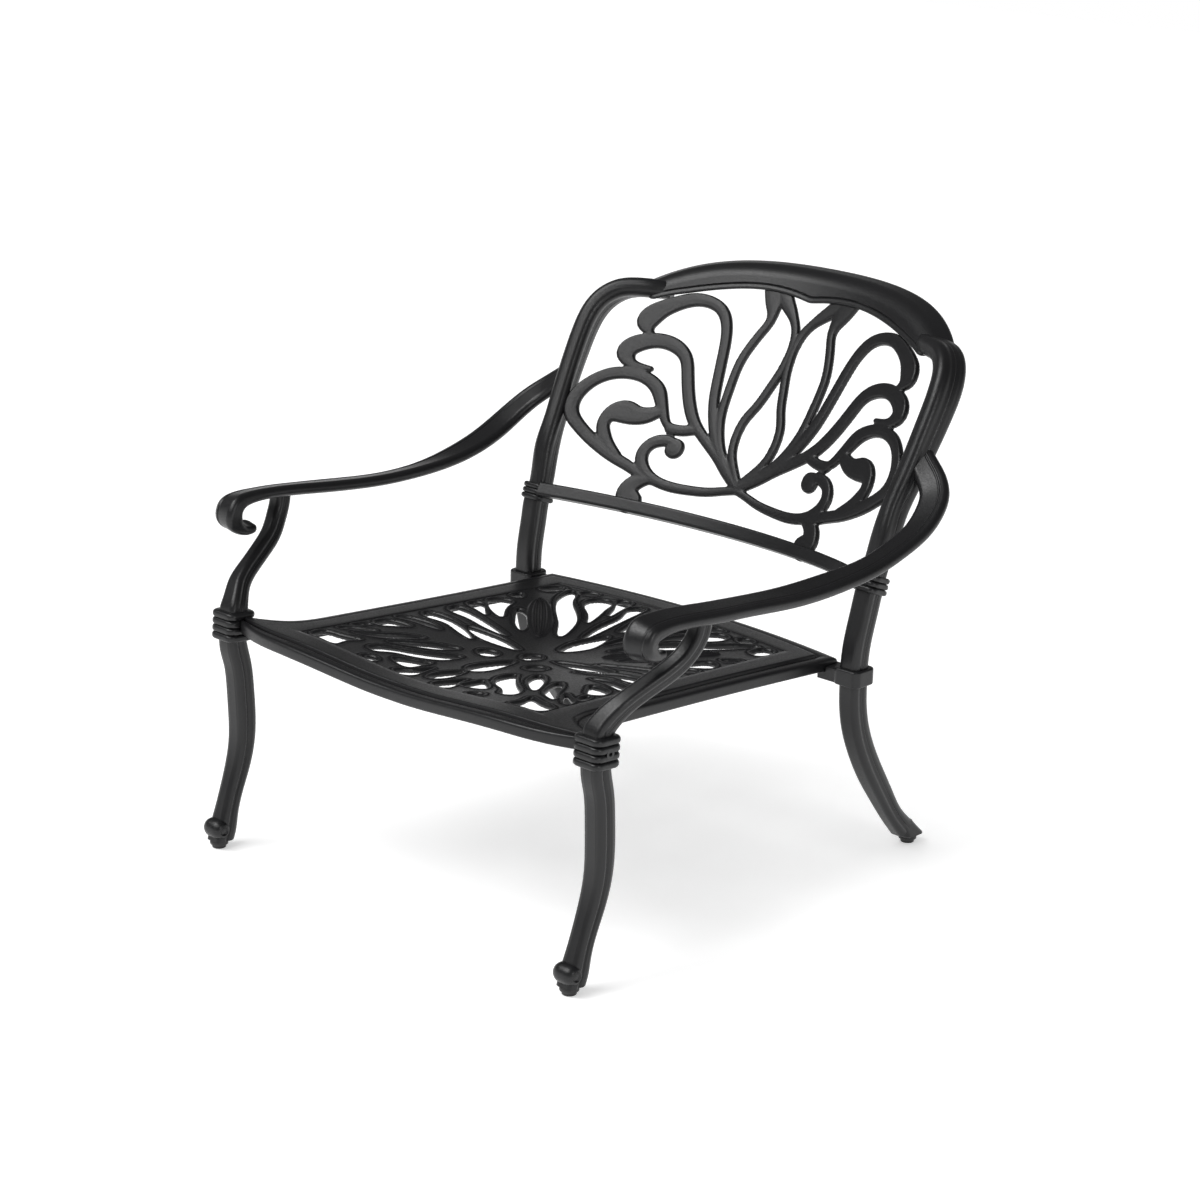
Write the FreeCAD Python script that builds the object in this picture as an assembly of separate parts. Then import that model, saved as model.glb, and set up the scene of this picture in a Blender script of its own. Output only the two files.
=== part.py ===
import FreeCAD, Part
import math
import os

# Garden armchair in cast metal, free standing. Millimetres, Z up, the chair faces -Y.
# Y is measured back from the axis of the front leg collars, X to the sitter's left and right
# from the centre plane, and the finished pieces are then centred over the floor.

V = FreeCAD.Vector

# Frame: where the legs, seat and back stand
FRONT_HALF_SPACING = 335.0
REAR_HALF_SPACING = 303.7
POST_HALF_SPACING = 307.4
SEAT_HEIGHT = 323.6
SEAT_SLOPE = 0.0602
LUG_SETBACK = 533.0
REAR_FOOT_SETBACK = 678.0
FRONT_FOOT_ADVANCE = 33.0
FRONT_FOOT_SPLAY = 4.7

# Square stock of the legs and posts
STOCK = 31.0
STOCK_CORNER = 7.5
SUPPORT_STOCK = 24.0
SUPPORT_CORNER = 6.0

# Rolled toe of a front leg, over its glide
TOE_RADIUS = 14.0
TOE_WIDTH = 24.0
TOE_ADVANCE = 4.0
TOE_RISE = 17.0
TOE_ROUNDING = 4.0

# Flared heel of a rear leg, over its glide
HEEL_LENGTH = 46.0
HEEL_WIDTH = 28.0
HEEL_HEIGHT = 25.0
HEEL_NECK_WIDTH = 26.0
HEEL_SET = 2.0
HEEL_RAKE = 23.5

# Ringed collars
FRONT_COLLAR_WIDTH = 46.0
FRONT_COLLAR_HEIGHT = 40.0
FRONT_COLLAR_RINGS = 4
FRONT_COLLAR_TOP_RISE = 6.4
BACK_COLLAR_WIDTH = 40.0
BACK_COLLAR_HEIGHT = 24.0
BACK_COLLAR_RINGS = 3
BACK_COLLAR_RISE = 112.0
BACK_COLLAR_SETBACK = 22.0
BACK_COLLAR_LEAN = 19.5
RING_GROOVE = 3.0
RING_GAP_SHARE = 0.34
RING_ROUNDING_SHARE = 0.3
SPIGOT_WIDTH = 28.0
SPIGOT_CORNER = 6.0
SPIGOT_ROOT = 3.0

# Rear lug: a band round the rear leg and a web to the seat
LUG_WIDTH = 43.0
LUG_HEIGHT = 23.0
LUG_DROP = 5.0
LUG_CORNER = 10.5
LUG_ROUNDING = 2.5
LUG_LAP = 2.0
WEB_WIDTH = 30.0
WEB_DEPTH = 18.0
WEB_DROP = 3.0
WEB_REACH = 12.0

# Seat casting
SEAT_HALF_WIDTH = 266.0
SEAT_FRONT_EDGE = -31.0
SEAT_REAR_EDGE = 574.0
SEAT_REAR_BOW = 30.0
SEAT_SWELL = 2.0
SEAT_SWELL_SHARE = 0.6
FLARE_LENGTH = 95.0
FLARE_WIDTH = 14.0
FLARE_SHARE = 0.33
CHEEK_SETBACK = 24.0
CHEEK_FRONT_SHARE = 0.6
CHEEK_BACK_SHARE = 0.5
CHEEK_TURN = 18.0
OPENING_HALF_FRONT = 221.0
OPENING_HALF_REAR = 210.0
OPENING_FRONT = 20.0
OPENING_REAR = 500.0
OPENING_REAR_BOW = 20.0
BORDER_STEP = 20.0
STEP_DROP = 5.0
PLATE_THICKNESS = 8.0
RIM_DEPTH = 19.0
RIM_THICKNESS = 8.0
DISH = 16.0
DISH_FRONT_SHARE = 0.7
DISH_DEEPEST = 290.0

# Back casting: part of an upright cylinder, leaning back
BACK_RADIUS = 615.0
BACK_LEAN = 31.15
BACK_ORIGIN_SETBACK = 632.9
BACK_ORIGIN_HEIGHT = 453.3
GRILLE_THICKNESS = 9.0
GRILLE_BOTTOM = -65.0
GRILLE_TOP = 325.0
CREST_DEPTH = 48.0
CREST_OVERHANG = 3.0
CREST_HALF_LENGTH = 250.0
CREST_TOP = 355.0
CREST_UNDERSIDE = 282.0
CREST_ARCH = 13.0
CREST_ARCH_SPAN = 210.0
CREST_CORNER = 14.0
CREST_TOP_FALL = (12.0, 37.0)
CREST_TAPER = 0.1
CREST_UNDERSIDE_FALL = (2.0, 28.0)
POST_WIDTH = 27.5
POST_DEPTH = 46.0
POST_BEHIND = 13.0
POST_TURN = 0.65
POST_CORNER = 9.0
CROSS_RAIL_HEIGHT = 19.5
CROSS_RAIL_DEPTH = 18.0
CROSS_RAIL_CORNER = 3.0
CROSS_RAIL_UP = -60.5
CROSS_RAIL_RISE = 10.0
CROSS_RAIL_RISE_REACH = 270.0
CROSS_RAIL_OVERHANG = 4.0
CROSS_RAIL_LAP = 4.0

# Arms
ARM_WIDTH = 42.0
ARM_THICKNESS = 15.5
ARM_CORNER_SHARE = 0.48
ARM_CANT = 10.0
ARM_HEIGHT = 466.0
ARM_HALF_SPACING = 378.0

# Levelling glides and their inserts
GLIDE_DIAMETER = 25.0
GLIDE_HEIGHT = 6.0
GLIDE_STEP_DIAMETER = 19.0
GLIDE_STEP_HEIGHT = 5.0
GLIDE_ROUNDING = 1.2
STUD_DIAMETER = 8.0
STUD_LENGTH = 16.0
STUD_ROOT = 4.0
STUD_CLEARANCE = 0.05
INSERT_DIAMETER = 12.0
INSERT_LENGTH = 12.0
STUD_TIP_ROOM = 1.5
REAR_GLIDE_INSET = 5.0

# Bolts
BOLT_DIAMETER = 8.0
BOLT_HEAD_DIAMETER = 13.0
BOLT_HEAD_HEIGHT = 5.0
BOLT_HEAD_ROUNDING = 2.0
BOLT_SOCKET_DIAMETER = 5.8
BOLT_SOCKET_DEPTH = 3.0
BOLT_CLEARANCE = 0.2
WASHER_DIAMETER = 16.0
WASHER_THICKNESS = 1.6
FRONT_BOLT_LENGTH = 56.0
LUG_BOLT_LENGTH = 44.0

# How far a cutting tool starts outside what it cuts, and the span under which an edge counts as flat
OVERRUN = 1.0
FLAT_SPAN = 0.1

FOOT_HEIGHT = GLIDE_STEP_HEIGHT + GLIDE_HEIGHT
COLLAR_TOP = SEAT_HEIGHT + FRONT_COLLAR_TOP_RISE
COLLAR_BOTTOM = COLLAR_TOP - FRONT_COLLAR_HEIGHT
COLLAR_MIDDLE = (COLLAR_TOP + COLLAR_BOTTOM) / 2
SEAT_AXIS = V(0, SEAT_SLOPE, 1).normalize()
LUG_TOP = SEAT_HEIGHT - SEAT_SLOPE * LUG_SETBACK - LUG_DROP
LUG_BOTTOM = LUG_TOP - LUG_HEIGHT
BACK_COLLAR_CENTRE = V(POST_HALF_SPACING, LUG_SETBACK + BACK_COLLAR_SETBACK, LUG_TOP + BACK_COLLAR_RISE)
BACK_COLLAR_AXIS = V(0, math.sin(math.radians(BACK_COLLAR_LEAN)), math.cos(math.radians(BACK_COLLAR_LEAN)))
BACK_UP = V(0, math.sin(math.radians(BACK_LEAN)), math.cos(math.radians(BACK_LEAN)))


# Shared shapes

def back_rear(across):
    """Direction square into the back's curved front face, so far across the chair."""
    level = V(math.sqrt(BACK_RADIUS ** 2 - across ** 2), -across, 0)
    return BACK_UP.cross(level).normalize()


def back_point(across, up, behind=0.0):
    """Point on the back's front face, or so far behind it: across the chair and up the lean."""
    hollow = BACK_RADIUS - math.sqrt(BACK_RADIUS ** 2 - across ** 2)
    foot = V(across, BACK_ORIGIN_SETBACK - hollow, BACK_ORIGIN_HEIGHT)
    return foot + BACK_UP * up + back_rear(across) * behind


def section(centre, side, rise, width, height, corner):
    """Closed outline of a rounded rectangle in the plane of the directions side and rise."""
    flat_side = width / 2 - corner
    flat_rise = height / 2 - corner
    reach = corner * math.sqrt(0.5)

    def at(a, b):
        return centre + side * a + rise * b

    edges = []
    ends = []
    for sign_a, sign_b in ((1, 1), (-1, 1), (-1, -1), (1, -1)):
        on_side = at(sign_a * width / 2, sign_b * flat_rise)
        on_rise = at(sign_a * flat_side, sign_b * height / 2)
        middle = at(sign_a * (flat_side + reach), sign_b * (flat_rise + reach))
        if sign_a * sign_b > 0:
            ends.append((on_side, middle, on_rise))
        else:
            ends.append((on_rise, middle, on_side))
    for index, (start, middle, stop) in enumerate(ends):
        edges.append(Part.Arc(start, middle, stop).toShape())
        following = ends[(index + 1) % len(ends)][0]
        edges.append(Part.makeLine(stop, following))
    return Part.Wire(edges)


def directions(points):
    """Unit tangents along a path of points."""
    result = []
    for index in range(len(points)):
        before = points[max(index - 1, 0)]
        after = points[min(index + 1, len(points) - 1)]
        result.append((after - before).normalize())
    return result


def bar(points, sizes, corner, first_side, first_way=None, last_way=None, rears=None, rolls=None):
    """Solid through rounded rectangles along a path, without twist, rolled, or with its back to given ways."""
    ways = directions(points)
    if first_way is not None:
        ways[0] = first_way
    if last_way is not None:
        ways[-1] = last_way
    side = first_side
    outlines = []
    for index, (point, way, (width, height)) in enumerate(zip(points, ways, sizes)):
        if rears is not None:
            side = rears[index].cross(way)
        side = (side - way * side.dot(way)).normalize()
        rise = way.cross(side)
        roll = math.radians(rolls[index]) if rolls is not None else 0.0
        across = side * math.cos(roll) + rise * math.sin(roll)
        outlines.append(section(point, across, way.cross(across), width, height,
                                min(corner, 0.49 * width, 0.49 * height)))
    return Part.makeLoft(outlines, True, False)


def block(centre, axis, width, length, corner):
    """Rounded square block along an axis, with one pair of faces square to X."""
    side = V(1, 0, 0)
    rise = axis.cross(side)
    start = centre - axis * (length / 2)
    return Part.Face(section(start, side, rise, width, width, corner)).extrude(axis * length)


def spigot(root, axis, length):
    """Stub of stock that carries a bar on into its collar, started just inside the bar."""
    start = root - axis * SPIGOT_ROOT
    side = V(1, 0, 0)
    stub = Part.Face(section(start, side, axis.cross(side), SPIGOT_WIDTH, SPIGOT_WIDTH, SPIGOT_CORNER))
    return stub.extrude(axis * (length + SPIGOT_ROOT))


def largest(shape):
    """The biggest solid of a cut."""
    return max(shape.Solids, key=lambda solid: solid.Volume)


def ringed_collar(centre, axis, width, height, rings):
    """Collar of equal rounded rings with narrow grooves between them, bored for the spigots."""
    pitch = height / rings
    ring = pitch * (1 - RING_GAP_SHARE / 2)
    collar = block(centre, axis, width - 2 * RING_GROOVE, height, STOCK_CORNER)
    for index in range(rings):
        middle = centre + axis * (pitch * (index + 0.5) - height / 2)
        disc = block(middle, axis, width, ring, STOCK_CORNER + RING_GROOVE)
        rims = [edge for edge in disc.Edges if abs(edge.tangentAt(edge.FirstParameter).dot(axis)) < 0.5]
        collar = collar.fuse(disc.makeFillet(ring * RING_ROUNDING_SHARE, rims))
    return collar.cut(block(centre, axis, SPIGOT_WIDTH, height + 2 * OVERRUN, SPIGOT_CORNER))


def mirrored(shape):
    return shape.mirror(V(0, 0, 0), V(1, 0, 0))


def rod(start, axis, diameter, length):
    return Part.makeCylinder(diameter / 2, length, start, axis)


def smooth(points):
    curve = Part.BSplineCurve()
    curve.interpolate(Points=points)
    return curve.toShape()


def smooth_loop(points):
    curve = Part.BSplineCurve()
    curve.interpolate(Points=points, PeriodicFlag=True)
    return Part.Wire([curve.toShape()])


# Legs

def front_leg():
    """Cabriole leg: straight under the collar, swept forward to a toe over the glide."""
    drop = COLLAR_BOTTOM - FOOT_HEIGHT
    ankle = FRONT_FOOT_ADVANCE
    # Forward travel is a share of the foot's advance, height a share of the leg.
    shape = ((0.0, -0.88, 30), (0.06, -0.72, 30), (0.13, -0.55, 28), (0.22, -0.30, 27), (0.35, 0.10, 28.5),
             (0.48, 0.36, 30), (0.61, 0.40, STOCK), (0.75, 0.34, STOCK), (0.87, 0.22, STOCK), (1.0, 0.0, STOCK))
    top = V(FRONT_HALF_SPACING, 0, COLLAR_MIDDLE) - SEAT_AXIS * (FRONT_COLLAR_HEIGHT / 2)
    points = []
    sizes = []
    for share, forward, width in shape:
        inward = FRONT_FOOT_SPLAY * (1 - share)
        points.append(V(top.x - inward, top.y + forward * ankle, FOOT_HEIGHT + share * drop))
        sizes.append((width, width))
    leg = bar(points, sizes, STOCK_CORNER, V(1, 0, 0), V(0, 0, 1), SEAT_AXIS)
    toe_start = V(points[0].x - TOE_WIDTH / 2, -ankle - TOE_ADVANCE, FOOT_HEIGHT + TOE_RISE)
    toe = Part.makeCylinder(TOE_RADIUS, TOE_WIDTH, toe_start, V(1, 0, 0))
    leg = leg.fuse(toe.makeFillet(TOE_ROUNDING, toe.Edges))
    leg = leg.fuse(spigot(top, SEAT_AXIS, FRONT_COLLAR_HEIGHT / 2))
    leg = leg.cut(insert_bore(front_foot()))
    return leg.cut(front_bolt_hole())


def front_foot():
    return V(FRONT_HALF_SPACING - FRONT_FOOT_SPLAY, -FRONT_FOOT_ADVANCE, 0)


def rear_foot():
    return V(REAR_HALF_SPACING, REAR_FOOT_SETBACK - REAR_GLIDE_INSET, 0)


# Width and depth of a rear leg from its heel up past the ankle
REAR_ANKLE_SIZES = ((27, 30), (27, 27), (29, 29))

# Rear leg above its lug: across and back from the lug, and share of the way up to the back collar
REAR_LEG_NECK = ((1.0, 3.0, 0.35), (2.7, 11.33, 0.75))


def heel():
    """Flared block at a rear leg's end, flat on the glide."""
    foot = V(REAR_HALF_SPACING, REAR_FOOT_SETBACK - HEEL_SET, FOOT_HEIGHT)
    ankle = V(REAR_HALF_SPACING, REAR_FOOT_SETBACK - HEEL_RAKE, FOOT_HEIGHT + HEEL_HEIGHT)
    sole = section(foot, V(1, 0, 0), V(0, 1, 0), HEEL_WIDTH, HEEL_LENGTH, STOCK_CORNER)
    neck = section(ankle, V(1, 0, 0), V(0, 1, 0), HEEL_NECK_WIDTH, STOCK, STOCK_CORNER)
    return Part.makeLoft([sole, neck], True, True)


def rear_leg():
    """Raked leg: through the lug band, up to the middle of the back collar."""
    drop = LUG_BOTTOM - FOOT_HEIGHT
    rake = REAR_FOOT_SETBACK - LUG_SETBACK
    # Heights are shares of the drop below the lug, setbacks shares of the rake.
    curve = ((0.06, 0.855), (0.16, 0.686), (0.30, 0.505), (0.45, 0.325), (0.60, 0.172), (0.77, 0.05),
             (0.92, 0.005))
    points = [V(REAR_HALF_SPACING, LUG_SETBACK + rake * back, FOOT_HEIGHT + drop * share) for share, back in curve]
    points.append(V(REAR_HALF_SPACING, LUG_SETBACK, LUG_BOTTOM + LUG_LAP))
    points.append(V(REAR_HALF_SPACING, LUG_SETBACK, LUG_TOP + LUG_LAP))
    base = BACK_COLLAR_CENTRE - BACK_COLLAR_AXIS * (BACK_COLLAR_HEIGHT / 2)
    for across, back, share in REAR_LEG_NECK:
        points.append(V(REAR_HALF_SPACING + across, LUG_SETBACK + back, LUG_TOP + share * (base.z - LUG_TOP)))
    points.append(base)
    sizes = list(REAR_ANKLE_SIZES) + [(STOCK, STOCK)] * (len(points) - len(REAR_ANKLE_SIZES))
    leg = bar(points, sizes, STOCK_CORNER, V(1, 0, 0), None, BACK_COLLAR_AXIS)
    leg = leg.fuse(heel())
    leg = leg.fuse(spigot(base, BACK_COLLAR_AXIS, BACK_COLLAR_HEIGHT / 2))
    leg = leg.cut(insert_bore(rear_foot()))
    return leg.cut(lug_bolt_hole())


# Glides and inserts

def insert_bore(foot):
    """Blind hole up into a leg's end: the insert's seat, then room for the stud's tip."""
    mouth = V(foot.x, foot.y, FOOT_HEIGHT)
    seat = rod(mouth, V(0, 0, 1), INSERT_DIAMETER, INSERT_LENGTH)
    stud_top = GLIDE_STEP_HEIGHT + STUD_ROOT + STUD_LENGTH
    room = rod(mouth, V(0, 0, 1), STUD_DIAMETER + 2 * STUD_CLEARANCE, stud_top + STUD_TIP_ROOM - FOOT_HEIGHT)
    return seat.fuse(room)


def thread_insert(foot):
    mouth = V(foot.x, foot.y, FOOT_HEIGHT)
    sleeve = rod(mouth, V(0, 0, 1), INSERT_DIAMETER, INSERT_LENGTH)
    return sleeve.cut(rod(mouth, V(0, 0, 1), STUD_DIAMETER + 2 * STUD_CLEARANCE, INSERT_LENGTH))


def glide_foot(foot):
    """Stepped plastic foot, moulded round the root of its stud."""
    lower = rod(foot, V(0, 0, 1), GLIDE_STEP_DIAMETER, GLIDE_STEP_HEIGHT)
    rim = [edge for edge in lower.Edges if edge.BoundBox.ZMax < FLAT_SPAN]
    lower = lower.makeFillet(GLIDE_ROUNDING, rim)
    upper = rod(foot + V(0, 0, GLIDE_STEP_HEIGHT), V(0, 0, 1), GLIDE_DIAMETER, GLIDE_HEIGHT)
    rims = [edge for edge in upper.Edges if edge.BoundBox.ZLength < FLAT_SPAN]
    upper = upper.makeFillet(GLIDE_ROUNDING, rims)
    return lower.fuse(upper).cut(glide_stud(foot))


def glide_stud(foot):
    return rod(foot + V(0, 0, GLIDE_STEP_HEIGHT + STUD_ROOT), V(0, 0, 1), STUD_DIAMETER, STUD_LENGTH)


# Seat casting

def seat_top(across, back):
    """Height of the seat's upper face: a slope to the rear, less a shallow dish."""
    inside = min(abs(across) / OPENING_HALF_FRONT, 1.0)
    dish = DISH * math.cos(math.pi / 2 * inside) ** 2
    if back < DISH_DEEPEST:
        blend = min(max(back, 0) / DISH_DEEPEST, 1.0)
        depth = DISH_FRONT_SHARE + (1 - DISH_FRONT_SHARE) * math.sin(math.pi / 2 * blend)
    else:
        blend = min((back - DISH_DEEPEST) / (OPENING_REAR - DISH_DEEPEST), 1.0)
        depth = math.cos(math.pi / 2 * blend) ** 2
    return SEAT_HEIGHT - SEAT_SLOPE * back - dish * depth


def seat_layer(top_drop, bottom_drop):
    """Slab that follows the seat's upper face, between two depths below it."""
    columns = 15
    rows = 15
    side_margin = 10.0
    end_margin = 30.0
    reach_x = FRONT_HALF_SPACING + side_margin
    start_y = SEAT_FRONT_EDGE - end_margin
    stop_y = SEAT_REAR_EDGE + end_margin
    grid = []
    for row in range(rows):
        back = start_y + (stop_y - start_y) * row / (rows - 1)
        line = []
        for column in range(columns):
            across = -reach_x + 2 * reach_x * column / (columns - 1)
            line.append(V(across, back, seat_top(across, back) - top_drop))
        grid.append(line)
    surface = Part.BSplineSurface()
    surface.interpolate(grid)
    return surface.toShape().extrude(V(0, 0, top_drop - bottom_drop))


def prism(outline, holes=()):
    """Upright block over an outline in plan, with holes."""
    face = Part.makeFace([outline] + list(holes), "Part::FaceMakerBullseye")
    return face.extrude(V(0, 0, SEAT_HEIGHT * 2))


# Front edge of the seat: share of the half width, and how far it bows forward there
FRONT_EDGE_BOW = ((0.45, 3.0), (0.8, 2.0))


def seat_outline(inset):
    """Plan of the seat: bowed rear, front corners flared out to the collars."""
    half = SEAT_HALF_WIDTH - inset
    front = SEAT_FRONT_EDGE + inset
    collar_face = FRONT_HALF_SPACING - FRONT_COLLAR_WIDTH / 2
    cheek_front = front + CHEEK_SETBACK - inset * CHEEK_FRONT_SHARE
    cheek_back = OPENING_FRONT - inset * CHEEK_BACK_SHARE
    rear_corner = SEAT_REAR_EDGE - SEAT_REAR_BOW - inset
    rear_middle = SEAT_REAR_EDGE - inset
    edges = []
    for hand in (1, -1):
        bowed = [V(hand * half * share, front - bow, 0) for share, bow in FRONT_EDGE_BOW]
        turn = V(hand * (collar_face - CHEEK_TURN), (2 * cheek_front + front) / 3, 0)
        front_curve = smooth([V(0, front, 0)] + bowed + [turn, V(hand * collar_face, cheek_front, 0)])
        cheek = Part.makeLine(V(hand * collar_face, cheek_front, 0), V(hand * collar_face, cheek_back, 0))
        side = smooth([V(hand * collar_face, cheek_back, 0),
                       V(hand * (half + FLARE_WIDTH), cheek_back + FLARE_LENGTH * FLARE_SHARE, 0),
                       V(hand * (half + SEAT_SWELL), cheek_back + FLARE_LENGTH, 0),
                       V(hand * (half - SEAT_SWELL), rear_corner * SEAT_SWELL_SHARE, 0),
                       V(hand * half, rear_corner, 0)])
        edges += [front_curve, cheek, side]
    rear = Part.Arc(V(half, rear_corner, 0), V(0, rear_middle, 0), V(-half, rear_corner, 0)).toShape()
    edges.append(rear)
    return Part.Wire(Part.__sortEdges__(edges))


def opening_outline():
    """Plan of the leaf panel inside the border."""
    rear = Part.Arc(V(OPENING_HALF_REAR, OPENING_REAR, 0), V(0, OPENING_REAR + OPENING_REAR_BOW, 0),
                    V(-OPENING_HALF_REAR, OPENING_REAR, 0)).toShape()
    corners = [V(-OPENING_HALF_REAR, OPENING_REAR, 0), V(-OPENING_HALF_FRONT, OPENING_FRONT, 0),
               V(OPENING_HALF_FRONT, OPENING_FRONT, 0), V(OPENING_HALF_REAR, OPENING_REAR, 0)]
    sides = [Part.makeLine(corners[index], corners[index + 1]) for index in range(3)]
    return Part.Wire(Part.__sortEdges__(sides + [rear]))


# Openings of the leaf panel in plan, on the centre line: right half of each, from front to rear
MIDDLE_SLOTS = (
    ((0, 42), (8, 52), (11, 68), (8, 88), (0, 104)),
    ((0, 114), (10, 122), (14, 140), (11, 166), (0, 196)),
    ((0, 214), (9, 222), (13, 232), (8, 241), (0, 246)),
    ((0, 286), (11, 304), (16, 328), (12, 352), (0, 378)),
    ((0, 402), (9, 424), (16, 456), (18, 484), (10, 500), (0, 505)),
)

# Openings on one side of the centre line, repeated mirrored on the other
SIDE_SLOTS = (
    ((24, 27), (48, 27), (48, 38), (37, 58), (31, 78), (26, 58), (21, 38)),
    ((50, 52), (64, 51), (84, 61), (76, 73), (60, 85), (49, 92), (47, 72)),
    ((87, 27), (110, 28), (98, 39)),
    ((51, 148), (48, 124), (59, 104), (82, 86), (104, 72), (121, 55), (131, 60), (127, 78), (104, 99), (78, 121),
     (62, 138)),
    ((75, 168), (82, 144), (98, 125), (118, 108), (134, 98), (122, 122), (107, 143), (92, 159)),
    ((126, 152), (131, 134), (142, 113), (160, 92), (184, 82), (172, 98), (158, 118), (144, 138)),
    ((177, 112), (188, 95), (212, 79), (210, 88), (194, 101)),
    ((158, 68), (164, 46), (162, 28), (188, 26), (210, 29), (212, 50), (190, 57), (172, 63)),
    ((201, 126), (202, 112), (211, 103), (211, 116)),
    ((168, 168), (180, 148), (196, 134), (208, 143), (204, 160), (188, 167)),
    ((141, 197), (165, 190), (190, 184), (209, 181), (205, 191), (186, 199), (162, 203)),
    ((97, 213), (125, 216), (162, 223), (198, 222), (205, 233), (184, 242), (150, 240), (118, 229)),
    ((34, 241), (60, 231), (90, 227), (118, 233), (134, 243), (112, 251), (82, 255), (54, 250)),
    ((85, 268), (120, 263), (160, 267), (202, 275), (205, 287), (180, 291), (145, 285), (110, 277)),
    ((158, 301), (184, 306), (206, 315), (207, 329), (196, 332), (178, 319)),
    ((142, 315), (166, 322), (191, 339), (206, 357), (199, 371), (184, 377), (171, 358), (157, 336)),
    ((91, 303), (108, 311), (130, 331), (151, 361), (138, 357), (118, 341), (101, 323)),
    ((188, 397), (197, 393), (206, 402), (205, 417), (196, 411)),
    ((48, 333), (62, 344), (82, 367), (112, 394), (142, 424), (165, 459), (172, 489), (157, 478), (138, 453),
     (107, 426), (79, 400), (60, 371)),
    ((58, 399), (75, 419), (99, 439), (121, 463), (122, 483), (108, 494), (94, 486), (79, 456), (66, 427)),
    ((56, 440), (68, 457), (83, 482), (96, 509), (84, 512), (74, 503), (66, 480)),
    ((21, 352), (30, 374), (39, 416), (48, 460), (58, 496), (48, 503), (38, 486), (30, 448), (24, 408)),
    ((136, 505), (133, 497), (143, 485), (152, 484), (157, 496), (148, 505)),
    ((31, 192), (44, 179), (58, 195), (43, 206)),
    ((184, 486), (183, 470), (188, 456), (200, 453), (201, 486), (192, 491)),
)


def panel_slots():
    """Outlines of every opening in the leaf panel."""
    loops = []
    for half in MIDDLE_SLOTS:
        right = [V(across, back, 0) for across, back in half]
        left = [V(-across, back, 0) for across, back in half[1:-1]]
        loops.append(smooth_loop(right + left[::-1]))
    for slot in SIDE_SLOTS:
        for hand in (1, -1):
            loops.append(smooth_loop([V(hand * across, back, 0) for across, back in slot]))
    return loops


def seat_border():
    """Border of the seat: a plate with a stepped edge and a rim below it."""
    upper = prism(seat_outline(BORDER_STEP)).common(seat_layer(0, STEP_DROP))
    lower = prism(seat_outline(0)).common(seat_layer(STEP_DROP, PLATE_THICKNESS + STEP_DROP))
    rim = prism(seat_outline(0)).cut(prism(seat_outline(RIM_THICKNESS)))
    rim = rim.common(seat_layer(PLATE_THICKNESS + STEP_DROP, RIM_DEPTH))
    border = upper.fuse(lower).fuse(rim)
    return border.cut(prism(opening_outline()))


def seat_pieces():
    """Front, side and rear rails cut from the border, and the leaf panel inside them."""
    border = seat_border()
    reach = FRONT_HALF_SPACING * 2
    front_cut = Part.makeBox(2 * reach, reach, 2 * SEAT_HEIGHT, V(-reach, OPENING_FRONT - reach, 0))
    rear_cut = Part.makeBox(2 * reach, reach, 2 * SEAT_HEIGHT, V(-reach, OPENING_REAR, 0))
    right_cut = Part.makeBox(reach, OPENING_REAR - OPENING_FRONT, 2 * SEAT_HEIGHT, V(0, OPENING_FRONT, 0))
    front = border.common(front_cut)
    rear = border.common(rear_cut)
    right = border.common(right_cut)
    panel = prism(opening_outline(), panel_slots()).common(seat_layer(0, PLATE_THICKNESS))
    return front, rear, right, panel


def rear_lug(leg, seat):
    """Band round the rear leg with a web that butts on the seat."""
    centre = V(REAR_HALF_SPACING, LUG_SETBACK, (LUG_TOP + LUG_BOTTOM) / 2)
    up = V(0, 0, 1)
    band = block(centre, up, LUG_WIDTH, LUG_HEIGHT, LUG_CORNER)
    rims = [edge for edge in band.Edges if edge.BoundBox.ZLength < FLAT_SPAN]
    band = band.makeFillet(LUG_ROUNDING, rims)
    inner = SEAT_HALF_WIDTH - WEB_REACH
    web = Part.makeBox(REAR_HALF_SPACING - inner, WEB_WIDTH, WEB_DEPTH,
                       V(inner, LUG_SETBACK - WEB_WIDTH / 2, centre.z - WEB_DEPTH / 2 - WEB_DROP))
    lug = band.fuse(web)
    lug = lug.cut(leg)
    for piece in seat:
        lug = lug.cut(piece)
    return largest(lug).cut(lug_bolt_hole())


# Bolts

def front_bolt_line():
    """Start and direction of the bolt through a front collar, from its outer face inward."""
    outer = FRONT_HALF_SPACING + FRONT_COLLAR_WIDTH / 2
    return V(outer, 0, COLLAR_MIDDLE), V(-1, 0, 0)


def front_bolt():
    start, way = front_bolt_line()
    head = rod(start, way, BOLT_HEAD_DIAMETER, BOLT_HEAD_HEIGHT)
    shank = rod(start + way * BOLT_HEAD_HEIGHT, way, BOLT_DIAMETER, FRONT_BOLT_LENGTH)
    return head.fuse(shank).cut(rod(start, way, BOLT_SOCKET_DIAMETER, BOLT_SOCKET_DEPTH))


def front_bolt_hole():
    start, way = front_bolt_line()
    recess = rod(start - way * OVERRUN, way, BOLT_HEAD_DIAMETER + 2 * BOLT_CLEARANCE,
                 BOLT_HEAD_HEIGHT + OVERRUN)
    return recess.fuse(rod(start, way, BOLT_DIAMETER, FRONT_BOLT_LENGTH + BOLT_HEAD_HEIGHT))


def lug_bolt_line():
    """Start and direction of the bolt through a lug, from behind the band towards the seat."""
    height = (LUG_TOP + LUG_BOTTOM) / 2
    return V(REAR_HALF_SPACING, LUG_SETBACK + LUG_WIDTH / 2, height), V(0, -1, 0)


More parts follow.
